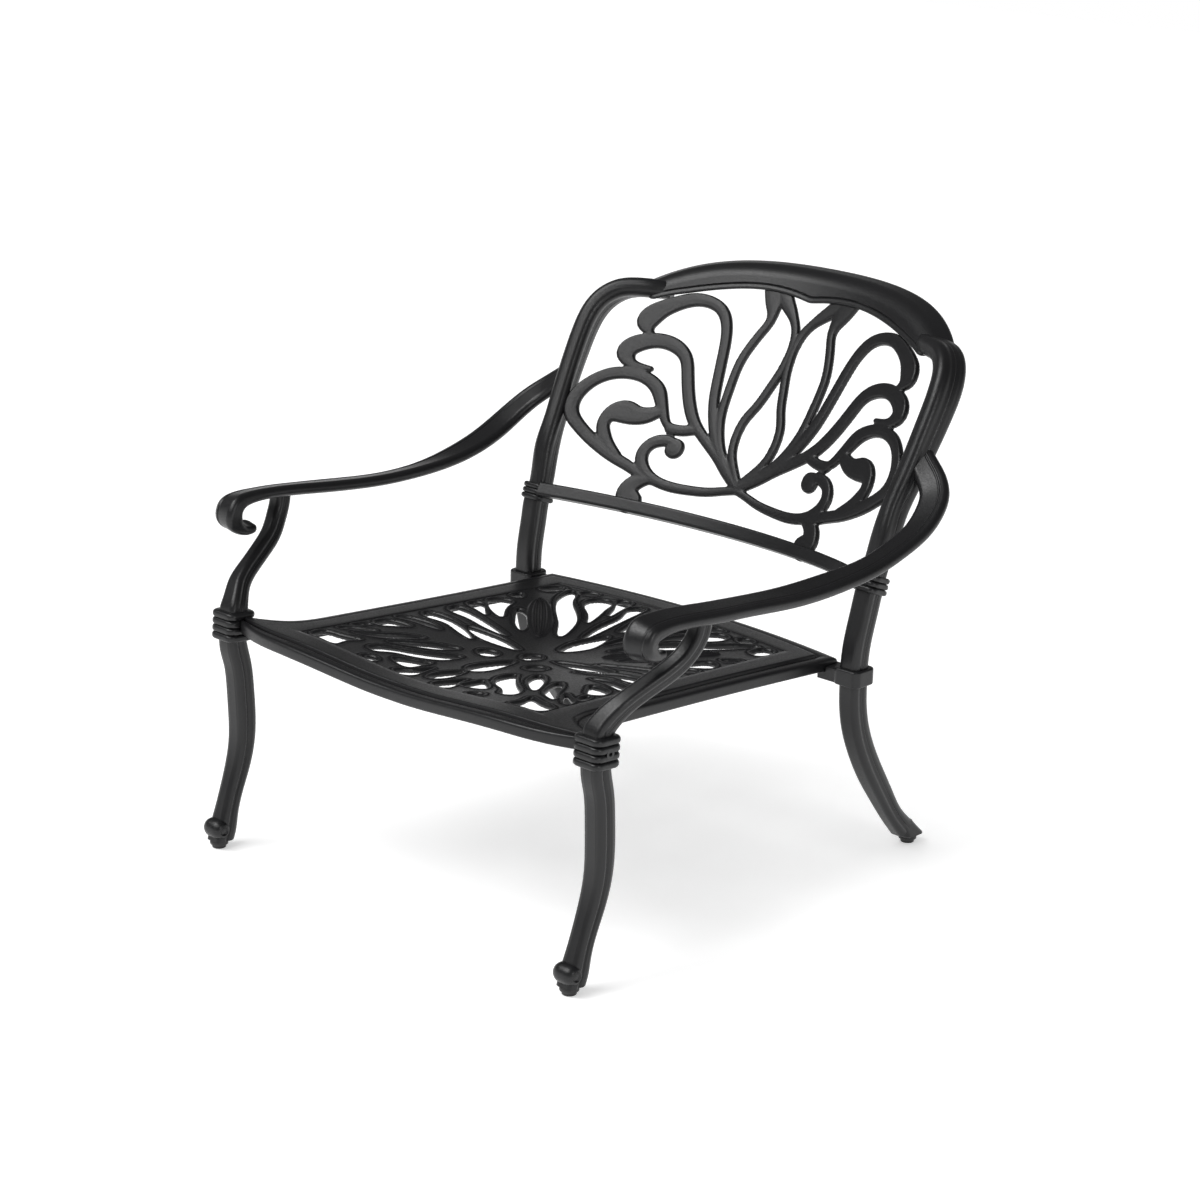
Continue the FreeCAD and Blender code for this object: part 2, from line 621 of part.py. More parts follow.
def lug_bolt():
    start, way = lug_bolt_line()
    head = rod(start - way * (BOLT_HEAD_HEIGHT + WASHER_THICKNESS), way, BOLT_HEAD_DIAMETER, BOLT_HEAD_HEIGHT)
    rims = [edge for edge in head.Edges if edge.BoundBox.YMin > start.y + WASHER_THICKNESS + OVERRUN and
            edge.BoundBox.YLength < FLAT_SPAN]
    head = head.makeFillet(BOLT_HEAD_ROUNDING, rims)
    shank = rod(start - way * WASHER_THICKNESS, way, BOLT_DIAMETER, LUG_BOLT_LENGTH - BOLT_HEAD_HEIGHT)
    return head.fuse(shank)


def lug_washer():
    start, way = lug_bolt_line()
    disc = rod(start - way * WASHER_THICKNESS, way, WASHER_DIAMETER, WASHER_THICKNESS)
    return disc.cut(rod(start - way * WASHER_THICKNESS, way, BOLT_DIAMETER + 2 * BOLT_CLEARANCE,
                        WASHER_THICKNESS))


def lug_bolt_hole():
    start, way = lug_bolt_line()
    length = LUG_BOLT_LENGTH - BOLT_HEAD_HEIGHT - WASHER_THICKNESS + OVERRUN
    return rod(start - way * OVERRUN, way, BOLT_DIAMETER, length)


# Back casting

# Crest rail's rounded end: distance past the last full section, and its size as a share of that
CREST_NOSE = ((0.0, 1.0), (4.0, 0.93), (7.5, 0.76), (9.5, 0.5))

# Post just above its collar, from there: across, back, up, width, depth, and turn of its rear outward
POST_ROOT = ((2, 8, 26, 30.5, 33, 0.1), (4.5, 16.5, 53, 30, 36, 0.2))

# Centre line of a post from above its lower bend to its end under the crest: across, up, how far its
# section has turned from square on the back to level, and its depth as a share of the full one
POST_LINE = ((307.5, 59, 0, 0.80), (310.5, 95, 0, 0.83), (313.5, 134, 0, 0.87), (315.5, 170, 0, 0.93),
             (316.5, 203, 0, 0.97), (315, 230, 0.1, 1), (310, 249, 0.2, 1), (301, 263, 0.35, 1),
             (288, 272.5, 0.5, 1), (271, 276.5, 0.6, 1), (254, 276, 0.6, 1), (240, 272, 0.6, 1))

# Centre lines of the back's ribbons, right half: across, up, half width
HOURGLASS = ((0, 4, 6), (18, 26, 6.5), (31, 48, 6.5), (35.5, 75, 6.5), (32, 100, 6.5), (22, 122, 6.5),
             (13, 150, 6.5), (5, 180, 6.5), (2.5, 200, 6.5), (2.5, 218, 6.5), (7, 239, 6.5), (18, 257, 7),
             (28, 268, 9), (40, 280, 11), (52, 296, 12))
PETAL = ((0, 0, 6), (20, 16, 6.5), (46, 42, 6.5), (63, 70, 6.5), (73, 100, 6.5), (77, 140, 6.5),
         (76.6, 185, 6.5), (71, 207, 6.5), (62, 231, 6.5), (56, 250, 7), (57, 262, 9), (61, 276, 13), (68, 296, 16))
UPPER_LOBE = ((0, 0, 7), (20, 15, 8), (50, 42, 8), (70, 68, 8), (83, 92, 8), (94, 120, 8), (101, 150, 8),
              (106, 175, 8), (111, 200, 8), (119, 227, 8), (137, 253, 8.5), (160, 263, 9), (185, 263, 10.5),
              (207, 254, 12), (226, 241, 15), (236, 226, 16), (233, 213, 9), (226, 205, 5))
LOWER_LOBE = ((0, 0, 7), (30, 20, 8), (50, 36, 8), (70, 50, 8), (90, 64, 8), (108, 79, 8.5), (125, 101, 9),
              (138.5, 126, 9), (150, 152, 9), (161.5, 174, 9), (178, 187.5, 10), (205, 195, 11), (230, 191, 13),
              (248, 176, 14), (241, 160, 9), (222, 152, 6), (206, 151, 4))
OUTER_LOOP = ((136, 64, 6), (150, 72, 6), (160, 85, 7), (171, 103, 9), (182, 120, 10), (197, 132, 9.5),
              (215, 139, 9), (237, 141, 9), (258, 137, 9.5), (275, 126, 9.5), (287, 110, 10), (292, 91, 10),
              (287, 71, 9.5), (272, 54, 9), (252, 38, 9), (230, 24, 9), (205, 11, 8.5), (180, 1, 8), (160, -8, 7),
              (140, -14, 6))
BUD = ((168, 90, 8), (184, 81, 12), (203, 79, 15), (221, 82, 17), (235, 76, 12), (240, 62, 9), (235, 47, 9),
       (225, 33, 8.5), (206, 16, 7))
BRIDGE = ((108, 70, 8), (124, 66, 8), (142, 66, 8))
BASE_SCROLL = ((124, 42, 8), (134, 47, 8), (146, 47, 9), (160, 41, 9), (168, 27, 9), (165, 11, 9), (154, -3, 9),
               (135, -13, 8), (105, -18.5, 7.5), (75, -18, 7), (45, -14.5, 6.5), (20, -8, 6), (-4, -2, 6))
SCROLL_FOOT = ((150, -14, 10), (164, -24, 13), (168, -36, 15), (160, -50, 18))
RIBBONS = (HOURGLASS, PETAL, UPPER_LOBE, LOWER_LOBE, OUTER_LOOP, BUD, BRIDGE, BASE_SCROLL, SCROLL_FOOT)
SCROLL_BALL = (124, 38, 14)


def front_view(across, up):
    """Point of the back's pattern seen square from the front, in the plane of the centre."""
    return V(across, 0, BACK_ORIGIN_HEIGHT + BACK_UP.z * up)


def ribbon(line, hand):
    """Flat face of one ribbon in front view, with round ends."""
    points = [V(hand * across, up, 0) for across, up, half in line]
    halves = [half for across, up, half in line]
    ways = directions(points)
    left = []
    right = []
    for point, way, half in zip(points, ways, halves):
        normal = V(-way.y, way.x, 0)
        left.append(point + normal * half)
        right.append(point - normal * half)
    nose = points[-1] + ways[-1] * halves[-1]
    tail = points[0] - ways[0] * halves[0]

    def seen(point):
        return front_view(point.x, point.y)

    edges = [smooth([seen(point) for point in left]),
             Part.Arc(seen(left[-1]), seen(nose), seen(right[-1])).toShape(),
             smooth([seen(point) for point in right[::-1]]),
             Part.Arc(seen(right[0]), seen(tail), seen(left[0])).toShape()]
    return Part.Face(Part.Wire(edges))


def back_shell(start_up, stop_up, in_front, behind):
    """Curved slab behind the back's front face, from one height up the lean to another."""
    reach = POST_HALF_SPACING
    depth_front = in_front / BACK_UP.z
    depth_rear = behind / BACK_UP.z

    def line(offset):
        ends = back_point(reach, start_up)
        middle = back_point(0, start_up)
        shift = V(0, offset, 0)
        return V(-reach, ends.y, ends.z) + shift, middle + shift, ends + shift

    a, b, c = line(-depth_front)
    d, e, f = line(depth_rear)
    edges = [Part.Arc(a, b, c).toShape(), Part.makeLine(c, f), Part.Arc(f, e, d).toShape(), Part.makeLine(d, a)]
    return Part.Face(Part.Wire(edges)).extrude(BACK_UP * (stop_up - start_up))


def back_grille(neighbours):
    """Scroll openwork: ribbons joined in front view, then given the back's curve and thickness."""
    faces = [ribbon(line, hand) for line in RIBBONS for hand in (1, -1)]
    across, up, radius = SCROLL_BALL
    for hand in (1, -1):
        circle = Part.makeCircle(radius, front_view(hand * across, up), V(0, 1, 0))
        faces.append(Part.Face(Part.Wire([circle])))
    pattern = faces[0].multiFuse(faces[1:]).removeSplitter()
    deep = pattern.extrude(V(0, BACK_ORIGIN_SETBACK * 2, 0))
    grille = deep.common(back_shell(GRILLE_BOTTOM, GRILLE_TOP, 0, GRILLE_THICKNESS))
    for piece in neighbours:
        grille = grille.cut(piece)
    return grille


def crest_edges(across):
    """Heights up the lean of the crest rail's front lower edge, a double arch, and rear upper edge."""
    share = abs(across) / CREST_HALF_LENGTH
    arch = CREST_ARCH * abs(math.sin(math.pi * across / CREST_ARCH_SPAN)) * max(1 - share, 0)

    def fall(amounts):
        return amounts[0] * share ** 2 + amounts[1] * share ** 4

    return CREST_UNDERSIDE - fall(CREST_UNDERSIDE_FALL) + arch, CREST_TOP - fall(CREST_TOP_FALL)


def crest_section(across, scale):
    """Section across the crest rail, level from front to rear and leaning with the back."""
    step = 4.0
    underside, top = crest_edges(across)
    before = back_point(across - step, sum(crest_edges(across - step)) / 2)
    after = back_point(across + step, sum(crest_edges(across + step)) / 2)
    centre = back_point(across, (underside + top) / 2, CREST_DEPTH * BACK_UP.z / 2 - CREST_OVERHANG)
    way = (after - before).normalize()
    rise = (BACK_UP - way * BACK_UP.dot(way)).normalize()
    side = V(0, 0, 1).cross(way).normalize()
    height = top - underside - CREST_DEPTH * BACK_UP.y
    scale = scale * (1 - CREST_TAPER * min(abs(across) / CREST_HALF_LENGTH, 1) ** 8)
    return section(centre, side, rise, CREST_DEPTH * scale, height * scale, CREST_CORNER * scale)


def crest_rail():
    """Thick arched top rail over the openwork, with rounded ends."""
    stations = 17
    outlines = []
    for index in range(stations):
        outlines.append(crest_section(CREST_HALF_LENGTH * (2 * index / (stations - 1) - 1), 1.0))
    rail = Part.makeLoft(outlines, True, False)
    for hand in (1, -1):
        nose = [crest_section(hand * (CREST_HALF_LENGTH + out), scale) for out, scale in CREST_NOSE]
        rail = rail.fuse(Part.makeLoft(nose, True, False))
    return rail


def back_post(crest):
    """Upper post from the back collar, turned with the back, with the shoulder under the crest."""
    top = BACK_COLLAR_CENTRE + BACK_COLLAR_AXIS * (BACK_COLLAR_HEIGHT / 2)
    points = [top]
    sizes = [(STOCK, STOCK)]
    rears = [V(0, 1, 0)]
    for across, back, up, width, depth, turn in POST_ROOT:
        points.append(top + V(across, back, up))
        sizes.append((width, depth))
        rears.append(V(turn, 1, 0))
    for across, up, level, share in POST_LINE:
        points.append(back_point(across, up, POST_BEHIND))
        sizes.append((POST_WIDTH, POST_DEPTH * share))
        rear = back_rear(across)
        rears.append(V(rear.x * POST_TURN, rear.y, rear.z * (1 - level)))
    post = bar(points, sizes, POST_CORNER, V(1, 0, 0), BACK_COLLAR_AXIS, rears=rears)
    post = post.fuse(spigot(top, BACK_COLLAR_AXIS * -1, BACK_COLLAR_HEIGHT / 2))
    return largest(post.cut(crest))


def cross_rail():
    """Lower rail of the back between the two back collars."""
    stations = 9
    reach = POST_HALF_SPACING - BACK_COLLAR_WIDTH / 2
    outlines = []
    for index in range(stations):
        across = (reach + CROSS_RAIL_LAP) * (2 * index / (stations - 1) - 1)
        up = CROSS_RAIL_UP + CROSS_RAIL_RISE * (across / CROSS_RAIL_RISE_REACH) ** 2
        centre = back_point(across, up, CROSS_RAIL_DEPTH / 2 - CROSS_RAIL_OVERHANG)
        way = (back_point(across + OVERRUN, up) - back_point(across - OVERRUN, up)).normalize()
        side = BACK_UP.cross(way).normalize()
        outlines.append(section(centre, side, BACK_UP, CROSS_RAIL_DEPTH, CROSS_RAIL_HEIGHT, CROSS_RAIL_CORNER))
    rail = Part.makeLoft(outlines, True, False)
    corner = BACK_COLLAR_CENTRE - V(POST_HALF_SPACING + reach, reach, reach)
    between = Part.makeBox(2 * reach, 2 * reach, 2 * reach, corner)
    return rail.common(between)


# Arms

# Centre line of an arm from the scroll's tip to the post: outward of the arm's line, back, up, and
# the roll of its section in degrees
ARM_LINE = ((-6, 68, -38, 0), (-5, 53, -39.5, 0), (-4, 38, -34, 0), (-3, 28.5, -21, 0), (-2, 33, -7, 0),
            (0, 50, -0.4, 0), (0.5, 76, 0.9, 0), (1.8, 105, -0.5, -0.6), (2.6, 150, -4.6, -1.6),
            (0.6, 200, -9.3, -3.5), (-1, 250, -13.9, -2.9), (-2.1, 300, -17.3, -1), (-2.4, 350, -17.8, -0.5),
            (-1, 402, -15.3, -4.5), (2.1, 455, -8.8, -12), (3.5, 508, 4.7, -16.3), (4.3, 550.5, 22.2, -16.3),
            (-0.2, 580, 40.7, -13), (-9.5, 601.2, 57, -12), (-24, 614, 71, -9), (-41.7, 621.6, 85.7, -5),
            (-59, 627.6, 100.4, -1.2))

# Width and thickness round the scroll, from its tip, and widths where the arm meets the post
ARM_SCROLL_SIZES = ((28, 9), (33, 12), (38, 18), (41, 25), (42, 22), (42, 18.5), (42, 16))
ARM_END_WIDTHS = (41, 40, 38, 36)


def arm_rail(post):
    """Flat oval arm: scroll at the front, long gentle dip, hook to the post at the rear."""
    points = [V(ARM_HALF_SPACING + out, back, ARM_HEIGHT + up) for out, back, up, roll in ARM_LINE]
    sizes = list(ARM_SCROLL_SIZES)
    sizes += [(ARM_WIDTH, ARM_THICKNESS)] * (len(points) - len(ARM_SCROLL_SIZES) - len(ARM_END_WIDTHS))
    sizes += [(width, ARM_THICKNESS) for width in ARM_END_WIDTHS]
    cant = math.radians(ARM_CANT)
    side = V(-math.cos(cant), 0, -math.sin(cant))
    rolls = [roll for out, back, up, roll in ARM_LINE]
    arm = bar(points, sizes, ARM_THICKNESS * ARM_CORNER_SHARE, side, rolls=rolls)
    return largest(arm.cut(post))


# Centre line of an arm support above its collar: outward, back, up
SUPPORT_LINE = ((2.5, 5, 10), (12, 20, 29), (22, 47, 47), (32, 78, 64), (40, 102, 81), (45.5, 115, 98),
                (48, 123, 115), (48, 126, 136))

# Its widths just above the collar
SUPPORT_ROOT_WIDTHS = (29, 26)


def arm_support(arm):
    """Leaning S-shaped support from the front collar up to the arm."""
    top = V(FRONT_HALF_SPACING, 0, COLLAR_MIDDLE) + SEAT_AXIS * (FRONT_COLLAR_HEIGHT / 2)
    points = [top] + [top + V(*step) for step in SUPPORT_LINE]
    widths = [STOCK] + list(SUPPORT_ROOT_WIDTHS)
    widths += [SUPPORT_STOCK] * (len(points) - len(widths))
    sizes = [(width, width) for width in widths]
    support = bar(points, sizes, SUPPORT_CORNER, V(1, 0, 0), SEAT_AXIS, V(0, 0, 1))
    support = support.fuse(spigot(top, SEAT_AXIS * -1, FRONT_COLLAR_HEIGHT / 2))
    return largest(support.cut(arm)).cut(front_bolt_hole())


# Assembly

def model():
    """Every piece by name."""
    pieces = {}
    front, rear, right, panel = seat_pieces()
    hole = front_bolt_hole()
    front = front.cut(hole).cut(mirrored(hole))
    pieces["seat_front_rail"] = front
    pieces["seat_rear_rail"] = rear
    pieces["seat_leaf_panel"] = panel
    crest = crest_rail()
    post = back_post(crest)
    collar_centre = V(FRONT_HALF_SPACING, 0, COLLAR_MIDDLE)
    front_collar = ringed_collar(collar_centre, SEAT_AXIS, FRONT_COLLAR_WIDTH, FRONT_COLLAR_HEIGHT,
                                 FRONT_COLLAR_RINGS).cut(hole)
    back_collar = ringed_collar(BACK_COLLAR_CENTRE, BACK_COLLAR_AXIS, BACK_COLLAR_WIDTH, BACK_COLLAR_HEIGHT,
                                BACK_COLLAR_RINGS)
    leg = rear_leg()
    lug = rear_lug(leg, [rear, right])
    arm = arm_rail(post)
    pairs = {
        "seat_side_rail": right,
        "back_post": post,
        "back_collar": back_collar,
        "front_collar": front_collar,
        "front_leg": front_leg(),
        "rear_leg": leg,
        "rear_lug": lug,
        "arm_rail": arm,
        "arm_support": arm_support(arm),
        "front_glide_foot": glide_foot(front_foot()),
        "rear_glide_foot": glide_foot(rear_foot()),
        "front_glide_stud": glide_stud(front_foot()),
        "rear_glide_stud": glide_stud(rear_foot()),
    }
    for name, shape in pairs.items():
        pieces[name + "_right"] = shape
        pieces[name + "_left"] = mirrored(shape)
    pieces["crest_rail"] = crest
    rail = cross_rail()
    pieces["back_cross_rail"] = rail
    pieces["back_grille"] = back_grille([crest, rail, post, mirrored(post)])
    inserts = [thread_insert(front_foot()), thread_insert(rear_foot())]
    groups = {"leg_thread_inserts": inserts, "front_collar_bolts": [front_bolt()], "rear_lug_bolts": [lug_bolt()],
              "rear_lug_washers": [lug_washer()]}
    for name, shapes in groups.items():
        pieces[name] = Part.makeCompound(shapes + [mirrored(shape) for shape in shapes])
    return pieces


def centred(pieces):
    """The pieces moved so that the middle of their outer box stands over the origin."""
    box = Part.makeCompound(list(pieces.values())).BoundBox
    shift = V(0, -(box.YMin + box.YMax) / 2, 0)
    return {name: shape.translated(shift) for name, shape in pieces.items()}


def main():
    os.makedirs("parts", exist_ok=True)
    for node, solid in centred(model()).items():
        solid.exportStep("parts/" + node + ".step")


if __name__ == "__main__":
    main()
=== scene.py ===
import math

import bpy
import numpy as np
from bpy.props import FloatProperty, FloatVectorProperty, IntProperty, PointerProperty
from bpy.types import Operator, Panel, PropertyGroup
from mathutils import Matrix, Vector


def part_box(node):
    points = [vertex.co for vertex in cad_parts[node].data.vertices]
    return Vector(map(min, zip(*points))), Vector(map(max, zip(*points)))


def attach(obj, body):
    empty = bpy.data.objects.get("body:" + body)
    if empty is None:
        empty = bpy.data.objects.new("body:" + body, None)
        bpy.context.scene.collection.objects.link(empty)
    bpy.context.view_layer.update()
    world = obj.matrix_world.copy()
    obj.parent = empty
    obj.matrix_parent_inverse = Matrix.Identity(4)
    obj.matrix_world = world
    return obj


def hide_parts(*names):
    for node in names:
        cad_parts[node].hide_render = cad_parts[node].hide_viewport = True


bl_info = {
    "name": "Cast garden armchair",
    "version": (1, 0, 0),
    "blender": (4, 5, 0),
    "location": "3D View > Sidebar > Garden Chair",
    "description": "Castings, openwork and glides of a garden armchair, round its packed frame",
    "category": "Add Mesh",
}

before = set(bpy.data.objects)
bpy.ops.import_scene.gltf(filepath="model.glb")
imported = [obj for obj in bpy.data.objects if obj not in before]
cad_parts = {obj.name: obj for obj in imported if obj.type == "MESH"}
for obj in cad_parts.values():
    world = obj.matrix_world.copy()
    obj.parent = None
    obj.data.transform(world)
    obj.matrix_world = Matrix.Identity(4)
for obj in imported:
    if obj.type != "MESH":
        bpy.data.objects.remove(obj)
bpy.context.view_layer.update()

# The shapes are worked out in millimetres from the centre plane and the axis of the front collars,
# Z up, the chair facing -Y, and go to the frame's metres when a piece is made.
FRONT_COLLAR_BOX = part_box("front_collar_right")
SETBACK = 1000 * (FRONT_COLLAR_BOX[0][1] + FRONT_COLLAR_BOX[1][1]) / 2

X_WAY = np.array([1.0, 0.0, 0.0])
Y_WAY = np.array([0.0, 1.0, 0.0])
Z_WAY = np.array([0.0, 0.0, 1.0])

# Places of the frame, as in the solid model
FRONT_HALF_SPACING = 335.0
REAR_HALF_SPACING = 303.7
POST_HALF_SPACING = 307.4
SEAT_HEIGHT = 323.6
SEAT_SLOPE = 0.0602
LUG_SETBACK = 533.0
LUG_TOP = 286.51
LUG_BOTTOM = 263.51
REAR_FOOT_SETBACK = 678.0
REAR_GLIDE_INSET = 5.0
FRONT_FOOT_ADVANCE = 33.0
FRONT_FOOT_SPLAY = 4.7
FOOT_HEIGHT = 11.0
LEG_STOCK = 31.0
SUPPORT_STOCK = 24.0
FRONT_COLLAR_WIDTH = 46.0
FRONT_COLLAR_HEIGHT = 40.0
FRONT_COLLAR_TOP_RISE = 6.4
COLLAR_MIDDLE = SEAT_HEIGHT + FRONT_COLLAR_TOP_RISE - FRONT_COLLAR_HEIGHT / 2
SEAT_AXIS = np.array([0.0, SEAT_SLOPE, 1.0]) / math.hypot(SEAT_SLOPE, 1.0)
BACK_COLLAR_SETBACK = 22.0
BACK_COLLAR_RISE = 112.0
BACK_COLLAR_CENTRE = np.array([POST_HALF_SPACING, LUG_SETBACK + BACK_COLLAR_SETBACK,
                               LUG_TOP + BACK_COLLAR_RISE])
BACK_COLLAR_LEAN = math.radians(19.5)
BACK_COLLAR_AXIS = np.array([0.0, math.sin(BACK_COLLAR_LEAN), math.cos(BACK_COLLAR_LEAN)])
BACK_COLLAR_WIDTH = 40.0
BACK_COLLAR_HEIGHT = 24.0
COLLAR_LAP = 9.0

# Back: part of an upright cylinder, leaning back
BACK_RADIUS = 615.0
BACK_LEAN = math.radians(31.15)
BACK_UP = np.array([0.0, math.sin(BACK_LEAN), math.cos(BACK_LEAN)])
BACK_ORIGIN = np.array([0.0, 632.9, 453.3])

# Crest rail
CREST_HALF_LENGTH = 250.0
CREST_NOSE = 10.5
CREST_OVERHANG = 3.0
CREST_TOP = 355.0
CREST_UNDERSIDE = 282.0
CREST_ARCH = 13.0
CREST_ARCH_SPAN = 210.0
CREST_TAPER = 0.1
CREST_TOP_FALL = (12.0, 37.0)
CREST_UNDERSIDE_FALL = (2.0, 28.0)
CREST_CORNERS = (14.0, 17.0, 5.0, 12.0)

# Lower rail of the back
CROSS_RAIL_DEPTH = 18.0
CROSS_RAIL_HEIGHT = 19.5
CROSS_RAIL_CORNER = 3.2
CROSS_RAIL_OVERHANG = 4.0
CROSS_RAIL_LAP = 1.0
CROSS_RAIL_UP = -60.5
CROSS_RAIL_RISE = 10.0
CROSS_RAIL_RISE_REACH = 270.0

# Seat
SEAT_HALF_WIDTH = 266.0
SEAT_FRONT_EDGE = -31.0
SEAT_REAR_EDGE = 574.0
SEAT_REAR_BOW = 30.0
SEAT_SWELL = 2.0
SEAT_SWELL_SHARE = 0.6
FLARE_LENGTH = 95.0
FLARE_WIDTH = 14.0
FLARE_SHARE = 0.33
CHEEK_SETBACK = 24.0
CHEEK_FRONT_SHARE = 0.6
CHEEK_BACK_SHARE = 0.5
CHEEK_TURN = 18.0
FRONT_EDGE_BOW = ((0.45, 3.0), (0.8, 2.0))
OPENING_HALF_FRONT = 221.0
OPENING_HALF_REAR = 210.0
OPENING_FRONT = 20.0
OPENING_REAR = 500.0
OPENING_REAR_BOW = 20.0
BORDER_STEP = 20.0
DISH = 16.0
DISH_FRONT_SHARE = 0.7
DISH_DEEPEST = 290.0

# Profile of the seat's border: share of the way from the panel to the groove, and drop
BORDER_BAND = ((0.0, 12.8), (0.0, 0.9), (0.01, 0.25), (0.035, 0.0), (0.25, 0.0), (0.5, 0.0), (0.75, 0.0))

# From there over the groove and the outer edge: distance inside the outer edge, and drop
BORDER_EDGE = (
    (23.0, 0.0), (21.6, 0.1), (20.8, 0.6), (20.2, 1.8), (19.8, 4.4), (19.0, 5.6), (18.0, 5.6), (17.0, 4.6),
    (15.6, 3.6), (13.5, 2.9), (11, 2.6), (8, 2.5), (5.2, 2.7), (3, 3.2), (1.5, 4.1), (0.5, 5.6), (0.1, 7.6),
    (0.0, 10.0), (0.0, 13.0), (0.0, 16.0), (0.3, 17.9), (1.2, 18.8), (2.6, 19.0), (6.2, 19.0), (7.5, 18.2),
    (8.0, 16.8), (8.0, 13.2))

# And back along the underside, as shares again
BORDER_UNDER = ((0.85, 13.0), (0.1, 13.0))

# Front leg: share of the height under its collar, share of the foot's advance, width
FRONT_LEG_SHAPE = (
    (0.0, -0.88, 30), (0.06, -0.72, 30), (0.13, -0.55, 28), (0.22, -0.30, 27), (0.35, 0.10, 28.5),
    (0.48, 0.36, 30), (0.61, 0.40, 31), (0.75, 0.34, 31), (0.87, 0.22, 31), (1.0, 0.0, 31))

# Rear leg: share of the height under its lug, share of the rake, width, depth
REAR_LEG_SHAPE = (
    (0.06, 0.855, 27, 30), (0.16, 0.686, 27, 27), (0.30, 0.505, 29, 29), (0.45, 0.325, 31, 31),
    (0.60, 0.172, 31, 31), (0.77, 0.05, 31, 31), (0.92, 0.005, 31, 31))

# Rolled toe of a front leg, flared heel of a rear leg
TOE_RADIUS = 14.0
TOE_WIDTH = 32.0
TOE_ADVANCE = 4.0
TOE_RISE = 17.0
HEEL_WIDTH = 28.0
HEEL_NECK_WIDTH = 26.0
HEEL_FLARE = 10.0
HEEL_HEIGHT = 25.0
HEEL_RAKE = 23.5
HEEL_SET = 2.0

# Glide: radius and height
GLIDE_PROFILE = (
    (8.2, 0), (8.9, 0.2), (9.35, 0.65), (9.5, 1.3), (9.5, 4.4), (9.9, 5.0), (11.3, 5.0), (12.1, 5.3),
    (12.5, 6.1), (12.5, 9.7), (12.1, 10.6), (11.3, 10.95))

# Post just above its collar, from there: across, back, up, width, depth, and turn of its rear outward
POST_ROOT = ((2, 8, 26, 30.5, 33, 0.1), (4.5, 16.5, 53, 30, 36, 0.2))

# Post from above its lower bend to its end under the crest: across, up the lean, how far it has
# turned from square on the back to level, and its depth as a share of the full one
POST_BEHIND = 13.0
POST_TURN = 0.65
POST_CORNERS = (10.0, 10.0, 11.5, 11.5)
POST_LINE = (
    (307.5, 59, 0, 0.80), (310.5, 95, 0, 0.83), (313.5, 134, 0, 0.87), (315.5, 170, 0, 0.93),
    (316.5, 203, 0, 0.97), (315, 230, 0.1, 1), (310, 249, 0.2, 1), (301, 263, 0.35, 1),
    (288, 272.5, 0.5, 1), (271, 276.5, 0.6, 1), (254, 277, 0.6, 0.95), (240, 277, 0.6, 0.8),
    (224, 277, 0.6, 0.5))

# Arm from its scroll's tip to the post: outward of the arm's line, back, up, roll
ARM_HALF_SPACING = 378.0
ARM_HEIGHT = 466.0
ARM_CANT = math.radians(10.0)
ARM_WIDTH = 42.0
ARM_THICKNESS = 15.5
ARM_CORNER_SHARE = 0.49
ARM_NOSE = 9.0
ARM_LINE = (
    (-6, 68, -38, 0), (-5, 53, -39.5, 0), (-4, 38, -34, 0), (-3, 28.5, -21, 0), (-2, 33, -7, 0),
    (0, 50, -0.4, 0), (0.5, 76, 0.9, 0), (1.8, 105, -0.5, -0.6), (2.6, 150, -4.6, -1.6),
    (0.6, 200, -9.3, -3.5), (-1, 250, -13.9, -2.9), (-2.1, 300, -17.3, -1), (-2.4, 350, -17.8, -0.5),
    (-1, 402, -15.3, -4.5), (2.1, 455, -8.8, -12), (3.5, 508, 4.7, -16.3), (4.3, 550.5, 22.2, -16.3),
    (-0.2, 580, 40.7, -13), (-9.5, 601.2, 57, -12), (-24, 614, 71, -9), (-41.7, 621.6, 85.7, -5),
    (-59, 627.6, 100.4, -1.2))
ARM_WIDTHS = (28, 33, 38, 41) + (ARM_WIDTH,) * 14 + (41, 40, 38, 36)
ARM_THICKNESSES = (9, 12, 18, 25, 22, 18.5, 16) + (ARM_THICKNESS,) * 15

# Arm support above its collar: outward, back, up, width
SUPPORT_LINE = (
    (2.5, 5, 10, 29), (12, 20, 29, 26), (22, 47, 47, 24), (32, 78, 64, 24), (40, 102, 81, 24),
    (45.5, 115, 98, 24), (48, 123, 115, 24), (48, 126, 136, 24))

# Ribbons of the back, right half: across, up the lean, half width
HOURGLASS = (
    (0, 4, 6), (18, 26, 6.5), (31, 48, 6.5), (35.5, 75, 6.5), (32, 100, 6.5), (22, 122, 6.5),
    (13, 150, 6.5), (5, 180, 6.5), (2.5, 200, 6.5), (2.5, 218, 6.5), (7, 239, 6.5), (18, 257, 7),
    (28, 268, 9), (40, 280, 11), (52, 296, 12))
PETAL = (
    (0, 0, 6), (20, 16, 6.5), (46, 42, 6.5), (63, 70, 6.5), (73, 100, 6.5), (77, 140, 6.5),
    (76.6, 185, 6.5), (71, 207, 6.5), (62, 231, 6.5), (56, 250, 7), (57, 262, 9), (61, 276, 13),
    (68, 296, 16))
UPPER_LOBE = (
    (0, 0, 7), (20, 15, 8), (50, 42, 8), (70, 68, 8), (83, 92, 8), (94, 120, 8), (101, 150, 8),
    (106, 175, 8), (111, 200, 8), (119, 227, 8), (137, 253, 8.5), (160, 263, 9), (185, 263, 10.5),
    (207, 254, 12), (226, 241, 15), (236, 226, 16), (233, 213, 9), (226, 205, 5))
